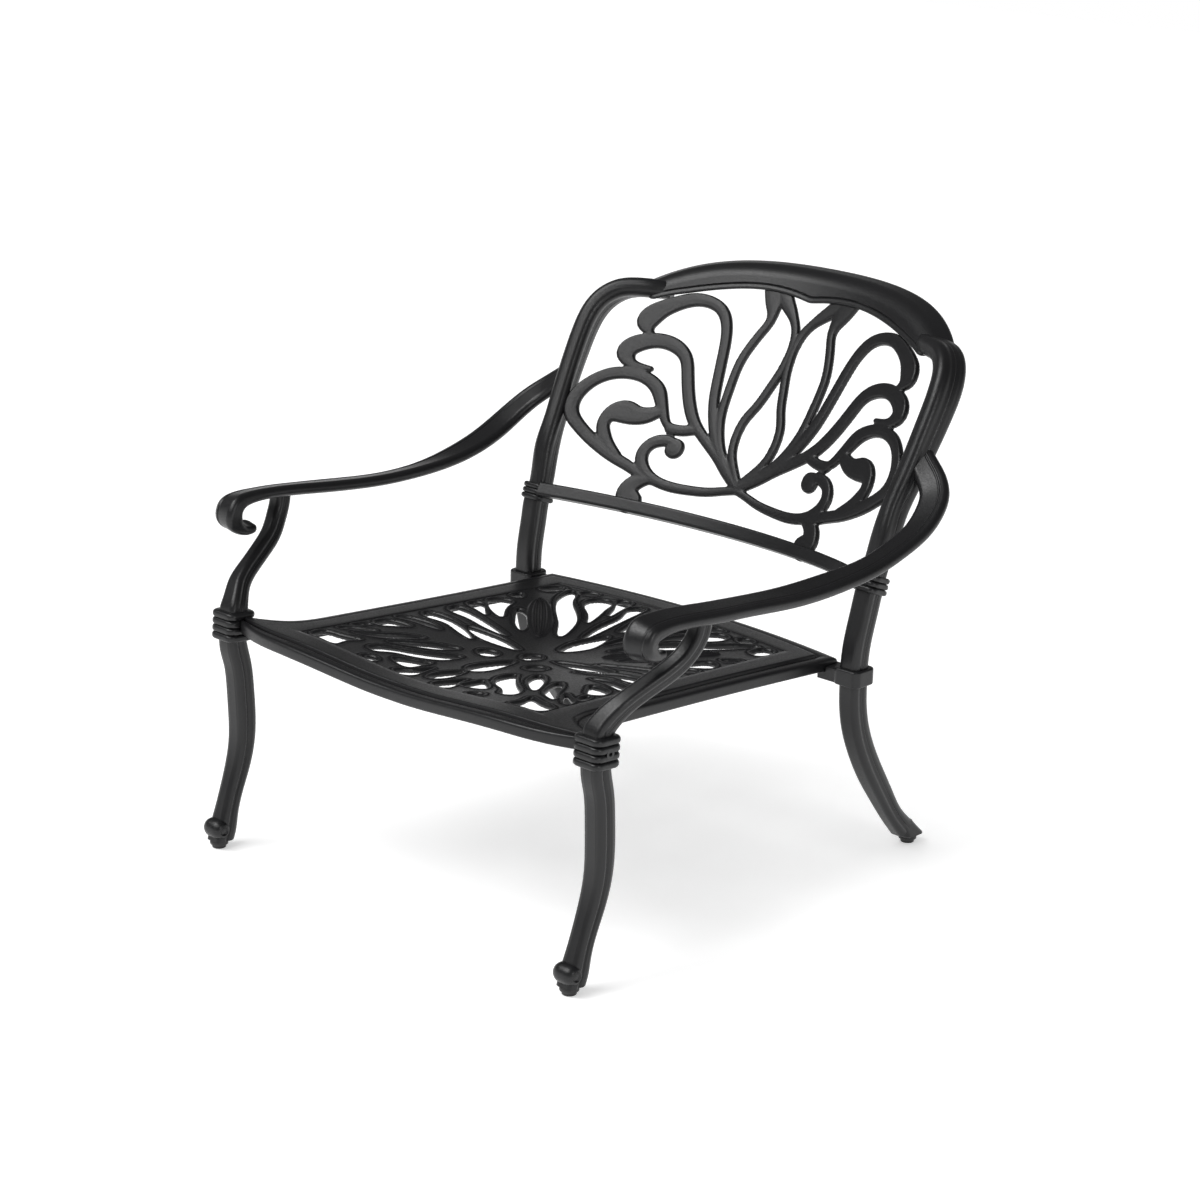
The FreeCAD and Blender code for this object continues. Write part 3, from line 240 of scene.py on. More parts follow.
LOWER_LOBE = (
    (0, 0, 7), (30, 20, 8), (50, 36, 8), (70, 50, 8), (90, 64, 8), (108, 79, 8.5), (125, 101, 9),
    (138.5, 126, 9), (150, 152, 9), (161.5, 174, 9), (178, 187.5, 10), (205, 195, 11), (230, 191, 13),
    (248, 176, 14), (241, 160, 9), (222, 152, 6), (206, 151, 4))
OUTER_LOOP = (
    (136, 64, 6), (150, 72, 6), (160, 85, 7), (171, 103, 9), (182, 120, 10), (197, 132, 9.5), (215, 139, 9),
    (237, 141, 9), (258, 137, 9.5), (275, 126, 9.5), (287, 110, 10), (292, 91, 10), (287, 71, 9.5),
    (272, 54, 9), (252, 38, 9), (230, 24, 9), (205, 11, 8.5), (180, 1, 8), (160, -8, 7), (140, -14, 6))
BUD = (
    (168, 90, 8), (184, 81, 12), (203, 79, 15), (221, 82, 17), (235, 76, 12), (240, 62, 9), (235, 47, 9),
    (225, 33, 8.5), (206, 16, 7))
BRIDGE = ((108, 70, 8), (124, 66, 8), (142, 66, 8))
BASE_SCROLL = (
    (124, 42, 8), (134, 47, 8), (146, 47, 9), (160, 41, 9), (168, 27, 9), (165, 11, 9), (154, -3, 9),
    (135, -13, 8), (105, -18.5, 7.5), (75, -18, 7), (45, -14.5, 6.5), (20, -8, 6), (-4, -2, 6))
SCROLL_FOOT = ((150, -14, 10), (164, -24, 13), (168, -36, 15), (160, -50, 18))
SCROLL_BALL = ((124, 37, 14), (124, 39, 14))
RIBBONS = (HOURGLASS, PETAL, UPPER_LOBE, LOWER_LOBE, OUTER_LOOP, BUD, BRIDGE, BASE_SCROLL, SCROLL_FOOT,
           SCROLL_BALL)

# Depth past which a ribbon isn't worked out, and depth over which two of them flow together
RIBBON_FAR = 8.0
RIBBON_BLEND = 3.0

# How far across the openwork reaches, at heights up the lean: just into the posts
OPENWORK_HALF_WIDTH = 304.0
OPENWORK_BOTTOM = -70.0
OPENWORK_TOP = 306.0
OPENWORK_HEIGHTS = (-70, 59, 95, 134, 170, 203, 230, 250)
OPENWORK_REACH = (300, 303, 306, 309, 310, 310, 308, 304)

# Openings of the seat's leaf panel in plan, on the centre line: right half of each, front to rear
MIDDLE_SLOTS = (
    ((0, 42), (8, 52), (11, 68), (8, 88), (0, 104)),
    ((0, 114), (10, 122), (14, 140), (11, 166), (0, 196)),
    ((0, 214), (9, 222), (13, 232), (8, 241), (0, 246)),
    ((0, 286), (11, 304), (16, 328), (12, 352), (0, 378)),
    ((0, 402), (9, 424), (16, 456), (18, 484), (10, 500), (0, 505)),
)

# The others on one side, repeated mirrored
SIDE_SLOTS = (
    ((24, 27), (48, 27), (48, 38), (37, 58), (31, 78), (26, 58), (21, 38)),
    ((50, 52), (64, 51), (84, 61), (76, 73), (60, 85), (49, 92), (47, 72)),
    ((87, 27), (110, 28), (98, 39)),
    ((51, 148), (48, 124), (59, 104), (82, 86), (104, 72), (121, 55), (131, 60), (127, 78), (104, 99),
     (78, 121), (62, 138)),
    ((75, 168), (82, 144), (98, 125), (118, 108), (134, 98), (122, 122), (107, 143), (92, 159)),
    ((126, 152), (131, 134), (142, 113), (160, 92), (184, 82), (172, 98), (158, 118), (144, 138)),
    ((177, 112), (188, 95), (212, 79), (210, 88), (194, 101)),
    ((158, 68), (164, 46), (162, 28), (188, 26), (210, 29), (212, 50), (190, 57), (172, 63)),
    ((201, 126), (202, 112), (211, 103), (211, 116)),
    ((168, 168), (180, 148), (196, 134), (208, 143), (204, 160), (188, 167)),
    ((141, 197), (165, 190), (190, 184), (209, 181), (205, 191), (186, 199), (162, 203)),
    ((97, 213), (125, 216), (162, 223), (198, 222), (205, 233), (184, 242), (150, 240), (118, 229)),
    ((34, 241), (60, 231), (90, 227), (118, 233), (134, 243), (112, 251), (82, 255), (54, 250)),
    ((85, 268), (120, 263), (160, 267), (202, 275), (205, 287), (180, 291), (145, 285), (110, 277)),
    ((158, 301), (184, 306), (206, 315), (207, 329), (196, 332), (178, 319)),
    ((142, 315), (166, 322), (191, 339), (206, 357), (199, 371), (184, 377), (171, 358), (157, 336)),
    ((91, 303), (108, 311), (130, 331), (151, 361), (138, 357), (118, 341), (101, 323)),
    ((188, 397), (197, 393), (206, 402), (205, 417), (196, 411)),
    ((48, 333), (62, 344), (82, 367), (112, 394), (142, 424), (165, 459), (172, 489), (157, 478), (138, 453),
     (107, 426), (79, 400), (60, 371)),
    ((58, 399), (75, 419), (99, 439), (121, 463), (122, 483), (108, 494), (94, 486), (79, 456), (66, 427)),
    ((56, 440), (68, 457), (83, 482), (96, 509), (84, 512), (74, 503), (66, 480)),
    ((21, 352), (30, 374), (39, 416), (48, 460), (58, 496), (48, 503), (38, 486), (30, 448), (24, 408)),
    ((136, 505), (133, 497), (143, 485), (152, 484), (157, 496), (148, 505)),
    ((31, 192), (44, 179), (58, 195), (43, 206)),
    ((184, 486), (183, 470), (188, 456), (200, 453), (201, 486), (192, 491)),
)

# Raised leaf in each rear corner of the panel: its centre, half length and half width
LEAF_CENTRE = (113.0, 361.0)
LEAF_WAY = (0.69, 0.724)
LEAF_HALF_LENGTH = 78.0
LEAF_HALF_WIDTH = 20.0
LEAF_RISE = 1.6
LEAF_VEIN = 1.3
LEAF_VEINS = 2.5

# Edges of the panel's openings: distance within which they are worked out, and how far the panel runs
# under the border. Groove beside an opening: its place, half width and depth, and the fall beyond it
PANEL_FAR = 14.0
PANEL_LAP = 1.6
PANEL_DROP = 0.35
GROOVE_PLACE = 6.2
GROOVE_HALF = 1.9
GROOVE_DEPTH = 1.7
FALL_START = 7.0
FALL_WIDTH = 3.0
FALL_DEPTH = 0.7

# Camera of the photograph, millimetres and degrees
CAMERA_PLACE = (2683.7, -2536.7, 1568.1)
CAMERA_AZIMUTH = 42.81
CAMERA_ELEVATION = 17.20
CAMERA_ROLL = 1.5
CAMERA_LENS = 91.95

# Studio: half the floor and how far it lies under the feet, in metres, what the lamps aim at, the
# strength of the white that the background shows, and the world's own light on the chair
FLOOR_REACH = 9.0
FLOOR_DROP = 0.0004
LAMP_AIM = (0, 0, 0.45)
FLOOR_GLOW = 0.40
WORLD_LIGHT = 0.45
CEILING_LIGHT = 0.12

# Soft boxes: place, width and height in metres, share of the largest one's power
SOFT_BOXES = (((-0.1, -2.1, 2.5), 1.2, 1.2, 1.0), ((2.9, -1.0, 1.5), 0.5, 1.4, 0.8))
OVERHEAD_PLACE = (-1.2, -1.4, 3.0)
OVERHEAD_POWER = 1.5
OVERHEAD_ANGLE = math.radians(35.0)


# Numbers and curves

def linear(colour):
    """Linear RGBA of an sRGB hex colour: each channel through the sRGB curve."""
    channels = [int(colour[index:index + 2], 16) / 255 for index in (1, 3, 5)]
    return [c / 12.92 if c <= 0.04045 else ((c + 0.055) / 1.055) ** 2.4 for c in channels] + [1.0]


def mm(length):
    """Millimetres of a size kept in metres."""
    return 1000.0 * length


def unit(vectors):
    return vectors / np.linalg.norm(vectors, axis=-1, keepdims=True)


def bump(distance):
    """Smooth hump of height 1, 0 from a distance of 1 on: half of one plus the cosine of a half turn."""
    return 0.5 * (1 + np.cos(math.pi * np.clip(distance, -1, 1)))


def curve(rows, columns, step=4.0, loop=False, count=None):
    """Cubic spline through rows of numbers, whose first few columns are the path.

    A row's parameter is the length of the chords up to it. The second derivative is continuous,
    and zero at free ends. The curve is read about every step, or count times.
    """
    rows = np.asarray(rows, float)
    if loop:
        rows = np.vstack([rows, rows[:1]])
    knots = np.concatenate([[0], np.cumsum(np.linalg.norm(np.diff(rows[:, :columns], axis=0), axis=1))])
    gaps = np.diff(knots)
    slopes = np.diff(rows, axis=0) / gaps[:, None]
    size = len(rows)
    system = np.eye(size)
    right = np.zeros_like(rows)
    inner = np.arange(1, size - 1)
    system[inner, inner - 1] = gaps[:-1]
    system[inner, inner] = 2 * (gaps[:-1] + gaps[1:])
    system[inner, inner + 1] = gaps[1:]
    right[1:-1] = 6 * np.diff(slopes, axis=0)
    if loop:
        system[0, [0, 1, size - 2]] = 2 * (gaps[0] + gaps[-1]), gaps[0], gaps[-1]
        right[0] = 6 * (slopes[0] - slopes[-1])
        system[-1, 0] = -1
    bends = np.linalg.solve(system, right)
    count = count or max(int(round(knots[-1] / step)), 2) + 1
    at = np.linspace(0, knots[-1], count)
    span = np.clip(np.searchsorted(knots, at, "right") - 1, 0, size - 2)
    low = ((knots[span + 1] - at) / gaps[span])[:, None]
    high = 1 - low
    bent = (low ** 3 - low) * bends[span] + (high ** 3 - high) * bends[span + 1]
    values = low * rows[span] + high * rows[span + 1] + bent * gaps[span, None] ** 2 / 6
    return values[:-1] if loop else values


def back_place(across, up, behind=0.0):
    """Points on the back's front face, or so far behind it, for arrays of places across and up the lean.

    The face is a cylinder: it comes forward by the radius less the root of radius squared less across
    squared. Behind is along the face's normal, which is the lean crossed with the level tangent.
    """
    across, up, behind = np.broadcast_arrays(*[np.asarray(v, float) for v in (across, up, behind)])
    chord = np.sqrt(BACK_RADIUS ** 2 - across ** 2)
    foot = np.stack([across, BACK_ORIGIN[1] - BACK_RADIUS + chord, np.full_like(across, BACK_ORIGIN[2])], -1)
    return foot + BACK_UP * up[..., None] + back_rear(across) * behind[..., None]


def back_rear(across):
    """Direction square into the back's front face, so far across."""
    across = np.asarray(across, float)
    chord = np.sqrt(BACK_RADIUS ** 2 - across ** 2)
    return unit(np.stack([BACK_UP[2] * across, BACK_UP[2] * chord, -BACK_UP[1] * chord], -1))


def seat_top(across, back):
    """Height of the seat's upper face: a slope to the rear, less a dish whose section is a cosine squared."""
    inside = np.clip(np.abs(across) / OPENING_HALF_FRONT, 0, 1)
    turn = math.pi / 2
    front = DISH_FRONT_SHARE + (1 - DISH_FRONT_SHARE) * np.sin(turn * np.clip(back / DISH_DEEPEST, 0, 1))
    rear = np.cos(turn * np.clip((back - DISH_DEEPEST) / (OPENING_REAR - DISH_DEEPEST), 0, 1)) ** 2
    depth = np.where(back < DISH_DEEPEST, front, rear)
    return SEAT_HEIGHT - SEAT_SLOPE * back - DISH * np.cos(turn * inside) ** 2 * depth


# Surfaces

def outline(width, height, corners, marks=(), flats=22, turns=6):
    """Rounded rectangles for arrays of widths and heights, as arrays of side and rise.

    Each goes round by four flats and four quarter circles, from the flat on the side. A mark is
    (flat, share, shift, half, depth): a groove, or with a negative depth a bead, along that flat, at
    that share of its half size plus the shift, sunk along the outline's normal by depth times bump.
    """
    width, height = width[:, None], height[:, None]
    signs = ((1, 1), (-1, 1), (-1, -1), (1, -1))
    radii = [np.minimum(corner, 0.49 * np.minimum(width, height)) for corner in corners]
    along = np.linspace(0, 1, flats, endpoint=False)
    round_ = np.linspace(0, 1, turns, endpoint=False)
    pieces = []
    ends = []
    for k in range(4):
        angle = k * math.pi / 2
        way = np.array([math.cos(angle), math.sin(angle)])
        start, stop = [(signs[n][0] * (width / 2 - radii[n]) + radii[n] * way[0],
                        signs[n][1] * (height / 2 - radii[n]) + radii[n] * way[1]) for n in (k - 1, k)]
        pieces.append([start[0] + (stop[0] - start[0]) * along, start[1] + (stop[1] - start[1]) * along,
                       way[0], way[1], 0])
        turned = angle + round_ * math.pi / 2
        pieces.append([signs[k][0] * (width / 2 - radii[k]) + radii[k] * np.cos(turned),
                       signs[k][1] * (height / 2 - radii[k]) + radii[k] * np.sin(turned),
                       np.cos(turned), np.sin(turned), 0])
        ends.append((start, stop))
    for flat, share, shift, half, depth in marks:
        axis = 1 - flat % 2
        sign = (1, -1, -1, 1)[flat]
        size = height if axis else width
        middle = share * size / 2 + shift
        before = ends[flat][0][axis] - sign * radii[flat - 1] * (1 - round_) * math.pi / 2
        after = ends[flat][1][axis] + sign * radii[flat] * round_ * math.pi / 2
        places = (2 * flat - 1, before), (2 * flat, pieces[2 * flat][axis]), (2 * flat + 1, after)
        for number, place in places:
            pieces[number % 8][4] = pieces[number % 8][4] + depth * bump((place - middle) / half)
    side = np.hstack([a - nx * sunk for a, b, nx, ny, sunk in pieces])
    rise = np.hstack([b - ny * sunk for a, b, nx, ny, sunk in pieces])
    return side, rise


def tube(rings, loop=False):
    """Skin over rings of points that turn left about the way forward, closed by flat ends or a loop."""
    count, points = rings.shape[:2]
    i = np.arange(count if loop else count - 1)[:, None]
    j = np.arange(points)[None, :]
    further, beside = (i + 1) % count, (j + 1) % points
    here, next_ = i * points, further * points
    quads = np.stack([here + j, here + beside, next_ + beside, next_ + j], -1).reshape(-1, 4)
    vertices = rings.reshape(-1, 3)
    if loop:
        return vertices, quads, np.zeros((0, 3), int)
    vertices = np.vstack([vertices, rings[0].mean(axis=0), rings[-1].mean(axis=0)])
    j = np.arange(points)
    beside = (j + 1) % points
    last = (count - 1) * points
    first_end = np.stack([np.full(points, count * points), beside, j], -1)
    last_end = np.stack([np.full(points, count * points + 1), last + j, last + beside], -1)
    return vertices, quads, np.vstack([first_end, last_end])


def skinned(centre, side, rise, sections):
    """Skin over sections of side and rise, set at centres along arrays of their directions or one for all."""
    a, b = sections
    side, rise = [way[:, None] if way.ndim == 2 else way for way in (side, rise)]
    return tube(centre[:, None] + side * a[..., None] + rise * b[..., None])


def carried(rows, side, corners, marks=(), first=None, last=None, rears=None, rolls=None, nose=0.0, step=4.0,
            flats=22):
    """Rounded rectangle carried along a path, rows of x, y, z, width and height.

    At each row the side is the one before it less its share along the path, or square to the given
    rear, and the rise is the way crossed with the side. The section is rolled about the way by its
    degrees. Centre, side, rise and sizes then follow one spline. Over nose millimetres from the first
    row the section swells from a point along an oval.
    """
    rows = np.asarray(rows, float)
    points = rows[:, :3]
    ways = unit(np.vstack([points[1] - points[0], points[2:] - points[:-2], points[-1] - points[-2]]))
    if first is not None:
        ways[0] = first
    if last is not None:
        ways[-1] = last
    sides = []
    for number, way in enumerate(ways):
        if rears is not None:
            side = np.cross(rears[number], way)
        side = unit(side - way * side.dot(way))
        roll = 0.0 if rolls is None else math.radians(rolls[number])
        sides.append(side * math.cos(roll) + np.cross(way, side) * math.sin(roll))
    sides = np.array(sides)
    table = curve(np.hstack([points, sides, np.cross(ways, sides), rows[:, 3:5]]), 3, step)
    if nose:
        rests = np.linalg.norm(np.diff(table[:, :3], axis=0), axis=1)
        travel = np.concatenate([[0], np.cumsum(rests)])
        fine = travel[0] + nose * (1 - np.cos(np.linspace(0, math.pi / 2, 14)))
        at = np.concatenate([fine, travel[travel > nose * 1.01]])
        table = np.stack([np.interp(at, travel, column) for column in table.T], -1)
        swell = (1 - np.clip(1 - at / nose, 0, 0.995) ** 2.3) ** (1 / 2.3)
    a, b = outline(table[:, 9], table[:, 10], corners, marks, flats)
    if nose:
        a, b = a * swell[:, None], b * swell[:, None]
    return skinned(table[:, 0:3], table[:, 3:6], table[:, 6:9], (a, b))


def turned(profile, foot, axis, side, steps=56):
    """Profile of radius and height turned a full circle about an axis from its foot."""
    profile = np.asarray(profile, float)
    angle = np.linspace(0, 2 * math.pi, steps, endpoint=False)
    around = side * np.cos(angle)[:, None] + np.cross(axis, side) * np.sin(angle)[:, None]
    return tube(foot + axis * profile[:, 1, None, None] + around * profile[:, 0, None, None])


def mirrored(shell):
    """The same skin on the other side of the centre plane, its faces turned round to point outwards."""
    vertices, quads, triangles = shell
    return vertices * [-1, 1, 1], quads[:, ::-1], triangles[:, ::-1]


def corners_of(index):
    """The four corners of every cell of a grid of numbers, turning left."""
    return np.stack([index[:-1, :-1], index[:-1, 1:], index[1:, 1:], index[1:, :-1]]).reshape(4, -1)


def openwork(depth, xs, ys, place, front, rear):
    """Pierced sheet on a square grid, solid where the depth into the metal is above zero.

    Points within half a cell of the edge move onto it, down the slope of the depth. Cells with four
    solid corners are squares, those with three are triangles. Place puts the grid with the front
    height and again with the rear one, and a wall joins the two along every open edge.
    """
    pitch = xs[1] - xs[0]
    slope_y, slope_x = np.gradient(depth, pitch)
    steep = np.maximum(slope_x ** 2 + slope_y ** 2, 0.25)
    shift = np.where(np.abs(depth) < pitch / 2, depth / steep, 0.0)
    x, y = np.meshgrid(xs, ys)
    x = x - shift * slope_x
    y = y - shift * slope_y
    cells = corners_of(np.arange(depth.size).reshape(depth.shape))
    level = depth.ravel()[cells]
    solid = level > -pitch / 2
    corners = solid.sum(axis=0)
    quads = cells[:, (corners == 4) & (level.mean(axis=0) > -0.1 * pitch)].T
    triangles = []
    for missing in range(4):
        others = [k for k in range(4) if k != missing]
        kept = (corners == 3) & ~solid[missing] & (level[others].mean(axis=0) > -0.1 * pitch)
        triangles.append(cells[others][:, kept].T)
    triangles = np.vstack(triangles)
    edges = np.vstack([quads[:, [k, (k + 1) % 4]] for k in range(4)] +
                      [triangles[:, [k, (k + 1) % 3]] for k in range(3)])
    ahead = edges[:, 0] * depth.size + edges[:, 1]
    rim = edges[~np.isin(ahead, edges[:, 1] * depth.size + edges[:, 0])]
    used = np.unique(np.concatenate([quads.ravel(), triangles.ravel()]))
    number = np.zeros(depth.size, int)
    number[used] = np.arange(len(used))
    x, y = x.ravel()[used], y.ravel()[used]
    vertices = np.vstack([place(x, y, front.ravel()[used]), place(x, y, rear.ravel()[used])])
    quads, triangles, rim = number[quads], number[triangles], number[rim]
    under = len(used)
    wall = np.stack([rim[:, 0], rim[:, 0] + under, rim[:, 1] + under, rim[:, 1]], -1)
    quads = np.vstack([quads, quads[:, ::-1] + under, wall])
    return vertices, quads, np.vstack([triangles, triangles[:, ::-1] + under])


def rounded_edge(depth, radius, drop):
    """How far a face falls towards an edge: a quarter of an oval, radius wide and drop high."""
    return drop * (1 - np.sqrt(1 - (1 - np.clip(depth / radius, 0, 1)) ** 2))


# Making pieces

def sheet(name, places, faces, material):
    """Mesh of points in metres and faces, with its material."""
    mesh = bpy.data.meshes.new(name)
    mesh.from_pydata(places, [], faces)
    mesh.materials.append(material)
    return mesh


def linked(data):
    """An object that holds the data, under its name, in the scene."""
    made = bpy.data.objects.new(data.name, data)
    bpy.context.scene.collection.objects.link(made)
    return made


def put(name, shells, finish, nodes, body="frame", crease=50.0):
    """One object from skins in millimetres, which rides on a body and stands for CAD nodes."""
    vertices, quads, triangles = [], [], []
    start = 0
    for points, fours, threes in shells:
        vertices.append(points)
        quads.append(fours + start)
        triangles.append(threes + start)
        start += len(points)
    material, slot = finish
    places = (np.vstack(vertices) + [0, SETBACK, 0]) / 1000
    mesh = sheet(name, places, np.vstack(quads).tolist() + np.vstack(triangles).tolist(), material)
    mesh.polygons.foreach_set("use_smooth", np.ones(len(mesh.polygons), bool))
    mesh.set_sharp_from_angle(angle=math.radians(crease))
    mesh.update()
    piece = linked(mesh)
    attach(piece, body)
    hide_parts(*nodes)


def put_pair(name, shells, finish, node, bodies=("frame", "frame"), crease=50.0):
    """A right piece, and its mirror image on the left."""
    put(name + "_right", shells, finish, [node + "_right"], bodies[0], crease)
    put(name + "_left", [mirrored(shell) for shell in shells], finish, [node + "_left"], bodies[1], crease)


def add(tree, kind, inputs=(), **settings):
    """Adds a shader node. Inputs are a socket's name or number, and a value or another node's output."""
    made = tree.nodes.new("ShaderNode" + kind)
    for key, value in settings.items():
        setattr(made, key, value)
    for socket, value in dict(inputs).items():
        if isinstance(value, bpy.types.NodeSocket):
            tree.links.new(value, made.inputs[socket])
        else:
            made.inputs[socket].default_value = value
    return made


def noise(tree, scale, detail):
    """Noise in object space, so many grains to the metre."""
    where = add(tree, "TexCoord").outputs["Object"]
    return add(tree, "TexNoise", {"Vector": where, "Scale": scale, "Detail": detail}).outputs[0]


def spread(tree, value, low, high, start, stop):
    """A value from low to high spread over start to stop."""
    return add(tree, "MapRange", {0: value, 1: low, 2: high, 3: start, 4: stop}).outputs[0]


def cleared(data):
    """Empty node tree of a material or a world."""
    data.use_nodes = True
    data.node_tree.nodes.clear()
    return data.node_tree


def grained(name, dark, light, grain, relief, rough, metallic=0.0, specular=0.5):
    """Material with two grains in object space: cloudy tone and gloss, and a fine bump.

    Grain is the size in millimetres of the clouds and of the bump, relief the bump's height.
    """
    material = bpy.data.materials.get(name)
    if material:
        return material
    material = bpy.data.materials.new(name)
    tree = cleared(material)
    clouds, fine = noise(tree, 1000 / grain[0], 4.0), noise(tree, 1000 / grain[1], 2.0)
    tone = add(tree, "Mix", {0: clouds, 6: dark, 7: light}, data_type="RGBA")
    skin = add(tree, "Bump", {"Strength": 1.0, "Distance": relief / 1000, "Height": fine})
    gloss = spread(tree, fine, 0.35, 0.65, *rough)
    shader = add(tree, "BsdfPrincipled", {
        "Base Color": tone.outputs[2], "Roughness": gloss, "Normal": skin.outputs[0], "Metallic": metallic,
        "Specular IOR Level": specular})
    add(tree, "OutputMaterial", {"Surface": shader.outputs[0]})
    return material


def powder_coat(context):
    """Satin polyester powder coat on a sand casting: charcoal black, soft wide highlights.

    The real skin has an orange peel of about 1 mm, drawn at 2.4 mm so that it shows, on the casting's
    gentle unevenness, which clouds the tone over about 40 mm.
    """
    tones = context.scene.chair_colours
    return grained("satin_powder_coat_on_casting", tones.coat_shade, tones.coat, (40.0, 2.4), 0.09,
                   (0.30, 0.42), specular=0.42)


def painted_steel(context):
    """Bolts and washers under the same powder, a little glossier where the film runs thin."""
    tones = context.scene.chair_colours
    return grained("powder_coated_steel_fastener", tones.coat_shade, tones.coat, (12.0, 1.6), 0.04,
                   (0.26, 0.36))


def plated_steel(context):
    """Zinc plated steel of the studs and thread inserts: pale grey metal, slightly clouded."""
    tones = context.scene.chair_colours
    return grained("zinc_plated_steel", tones.plating_shade, tones.plating, (6.0, 1.0), 0.01,
                   (0.25, 0.38), metallic=1.0)


def glide_plastic(context):
    """Moulded polyethylene of the glides: black, waxy, with the mould's fine matt grain."""
    tones = context.scene.chair_colours
    return grained("moulded_black_polyethylene", tones.plastic, tones.plastic_light, (8.0, 1.2), 0.03,
                   (0.42, 0.58))


def stand(lamp, place):
    """Sets a lamp at a place, aimed at the middle of the chair."""
    holder = linked(lamp)
    holder.location = place
    holder.rotation_euler = (Vector(LAMP_AIM) - Vector(place)).to_track_quat("-Z", "Y").to_euler()


def looked_at(tree):
    """1 for the rays that show a background: the camera's own, mirrored and passed through glass."""
    rays = add(tree, "LightPath").outputs
    either = add(tree, "Math", {0: rays["Is Camera Ray"], 1: rays["Is Glossy Ray"]}, operation="MAXIMUM")
    return add(tree, "Math", {0: either.outputs[0], 1: rays["Is Transmission Ray"]},
               operation="MAXIMUM").outputs[0]


def lay_floor(colours):
    """Matt white floor, which glows a little for the rays that show it and so meets the background."""
    material = bpy.data.materials.new("matt_white_studio_floor")
    tree = cleared(material)
    strength = add(tree, "Math", {0: looked_at(tree), 1: FLOOR_GLOW}, operation="MULTIPLY")
    rough = spread(tree, noise(tree, 2.0, 2.0), 0.3, 0.7, 0.72, 0.78)
    paint = add(tree, "BsdfPrincipled", {
        "Base Color": colours.floor, "Roughness": rough, "Specular IOR Level": 0.2})
    glow = add(tree, "Emission", {"Color": (1, 1, 1, 1), "Strength": strength.outputs[0]})
    both = add(tree, "AddShader", {0: paint.outputs[0], 1: glow.outputs[0]})
    add(tree, "OutputMaterial", {"Surface": both.outputs[0]})
    side = np.linspace(-FLOOR_REACH, FLOOR_REACH, colours.floor_sides + 1)
    x, y = np.meshgrid(side, side)
    places = np.stack([x.ravel(), y.ravel(), np.full(x.size, -FLOOR_DROP)], -1)
    mesh = sheet("studio_floor", places, corners_of(np.arange(x.size).reshape(x.shape)).T.tolist(), material)
    mesh.update()
    linked(mesh)


def white_world():
    """White background. Mirrored in the chair it is a white wall up to the horizon under a dark ceiling.

    For the chair's diffuse light it is an even grey.
    """
    world = bpy.data.worlds.new("white_studio")
    tree = cleared(world)
    way = add(tree, "SeparateXYZ", {0: add(tree, "TexCoord").outputs["Generated"]})
    walls = spread(tree, way.outputs["Z"], 0.02, 0.25, 1.0, CEILING_LIGHT)
    mirror = spread(tree, looked_at(tree), 0.0, 1.0, WORLD_LIGHT, walls)
    strength = spread(tree, add(tree, "LightPath").outputs["Is Camera Ray"], 0.0, 1.0, mirror, 1.0)
    glow = add(tree, "Background", {"Color": (1, 1, 1, 1), "Strength": strength})
    add(tree, "OutputWorld", {"Surface": glow.outputs[0]})
    return world


def photo_camera():
    """Camera at the photograph's place, turned by its azimuth, elevation and roll."""
    azimuth, elevation, roll = np.radians([CAMERA_AZIMUTH, CAMERA_ELEVATION, CAMERA_ROLL])
    right = Vector((math.cos(azimuth), math.sin(azimuth), 0))
    level = math.cos(elevation)
    back = Vector((math.sin(azimuth) * level, -math.cos(azimuth) * level, math.sin(elevation)))
    up = back.cross(right)
    turned_right = right * math.cos(roll) + up * math.sin(roll)
    turned_up = up * math.cos(roll) - right * math.sin(roll)
    data = bpy.data.cameras.new("photo_camera")
    data.lens, data.sensor_width = CAMERA_LENS, 36.0
    camera = linked(data)
    place = Vector(CAMERA_PLACE) + Vector((0, SETBACK, 0))
    turn = Matrix((turned_right, turned_up, back)).transposed().to_4x4()
    camera.matrix_world = Matrix.Translation(place / 1000) @ turn
    return camera


# Shapes of the pieces

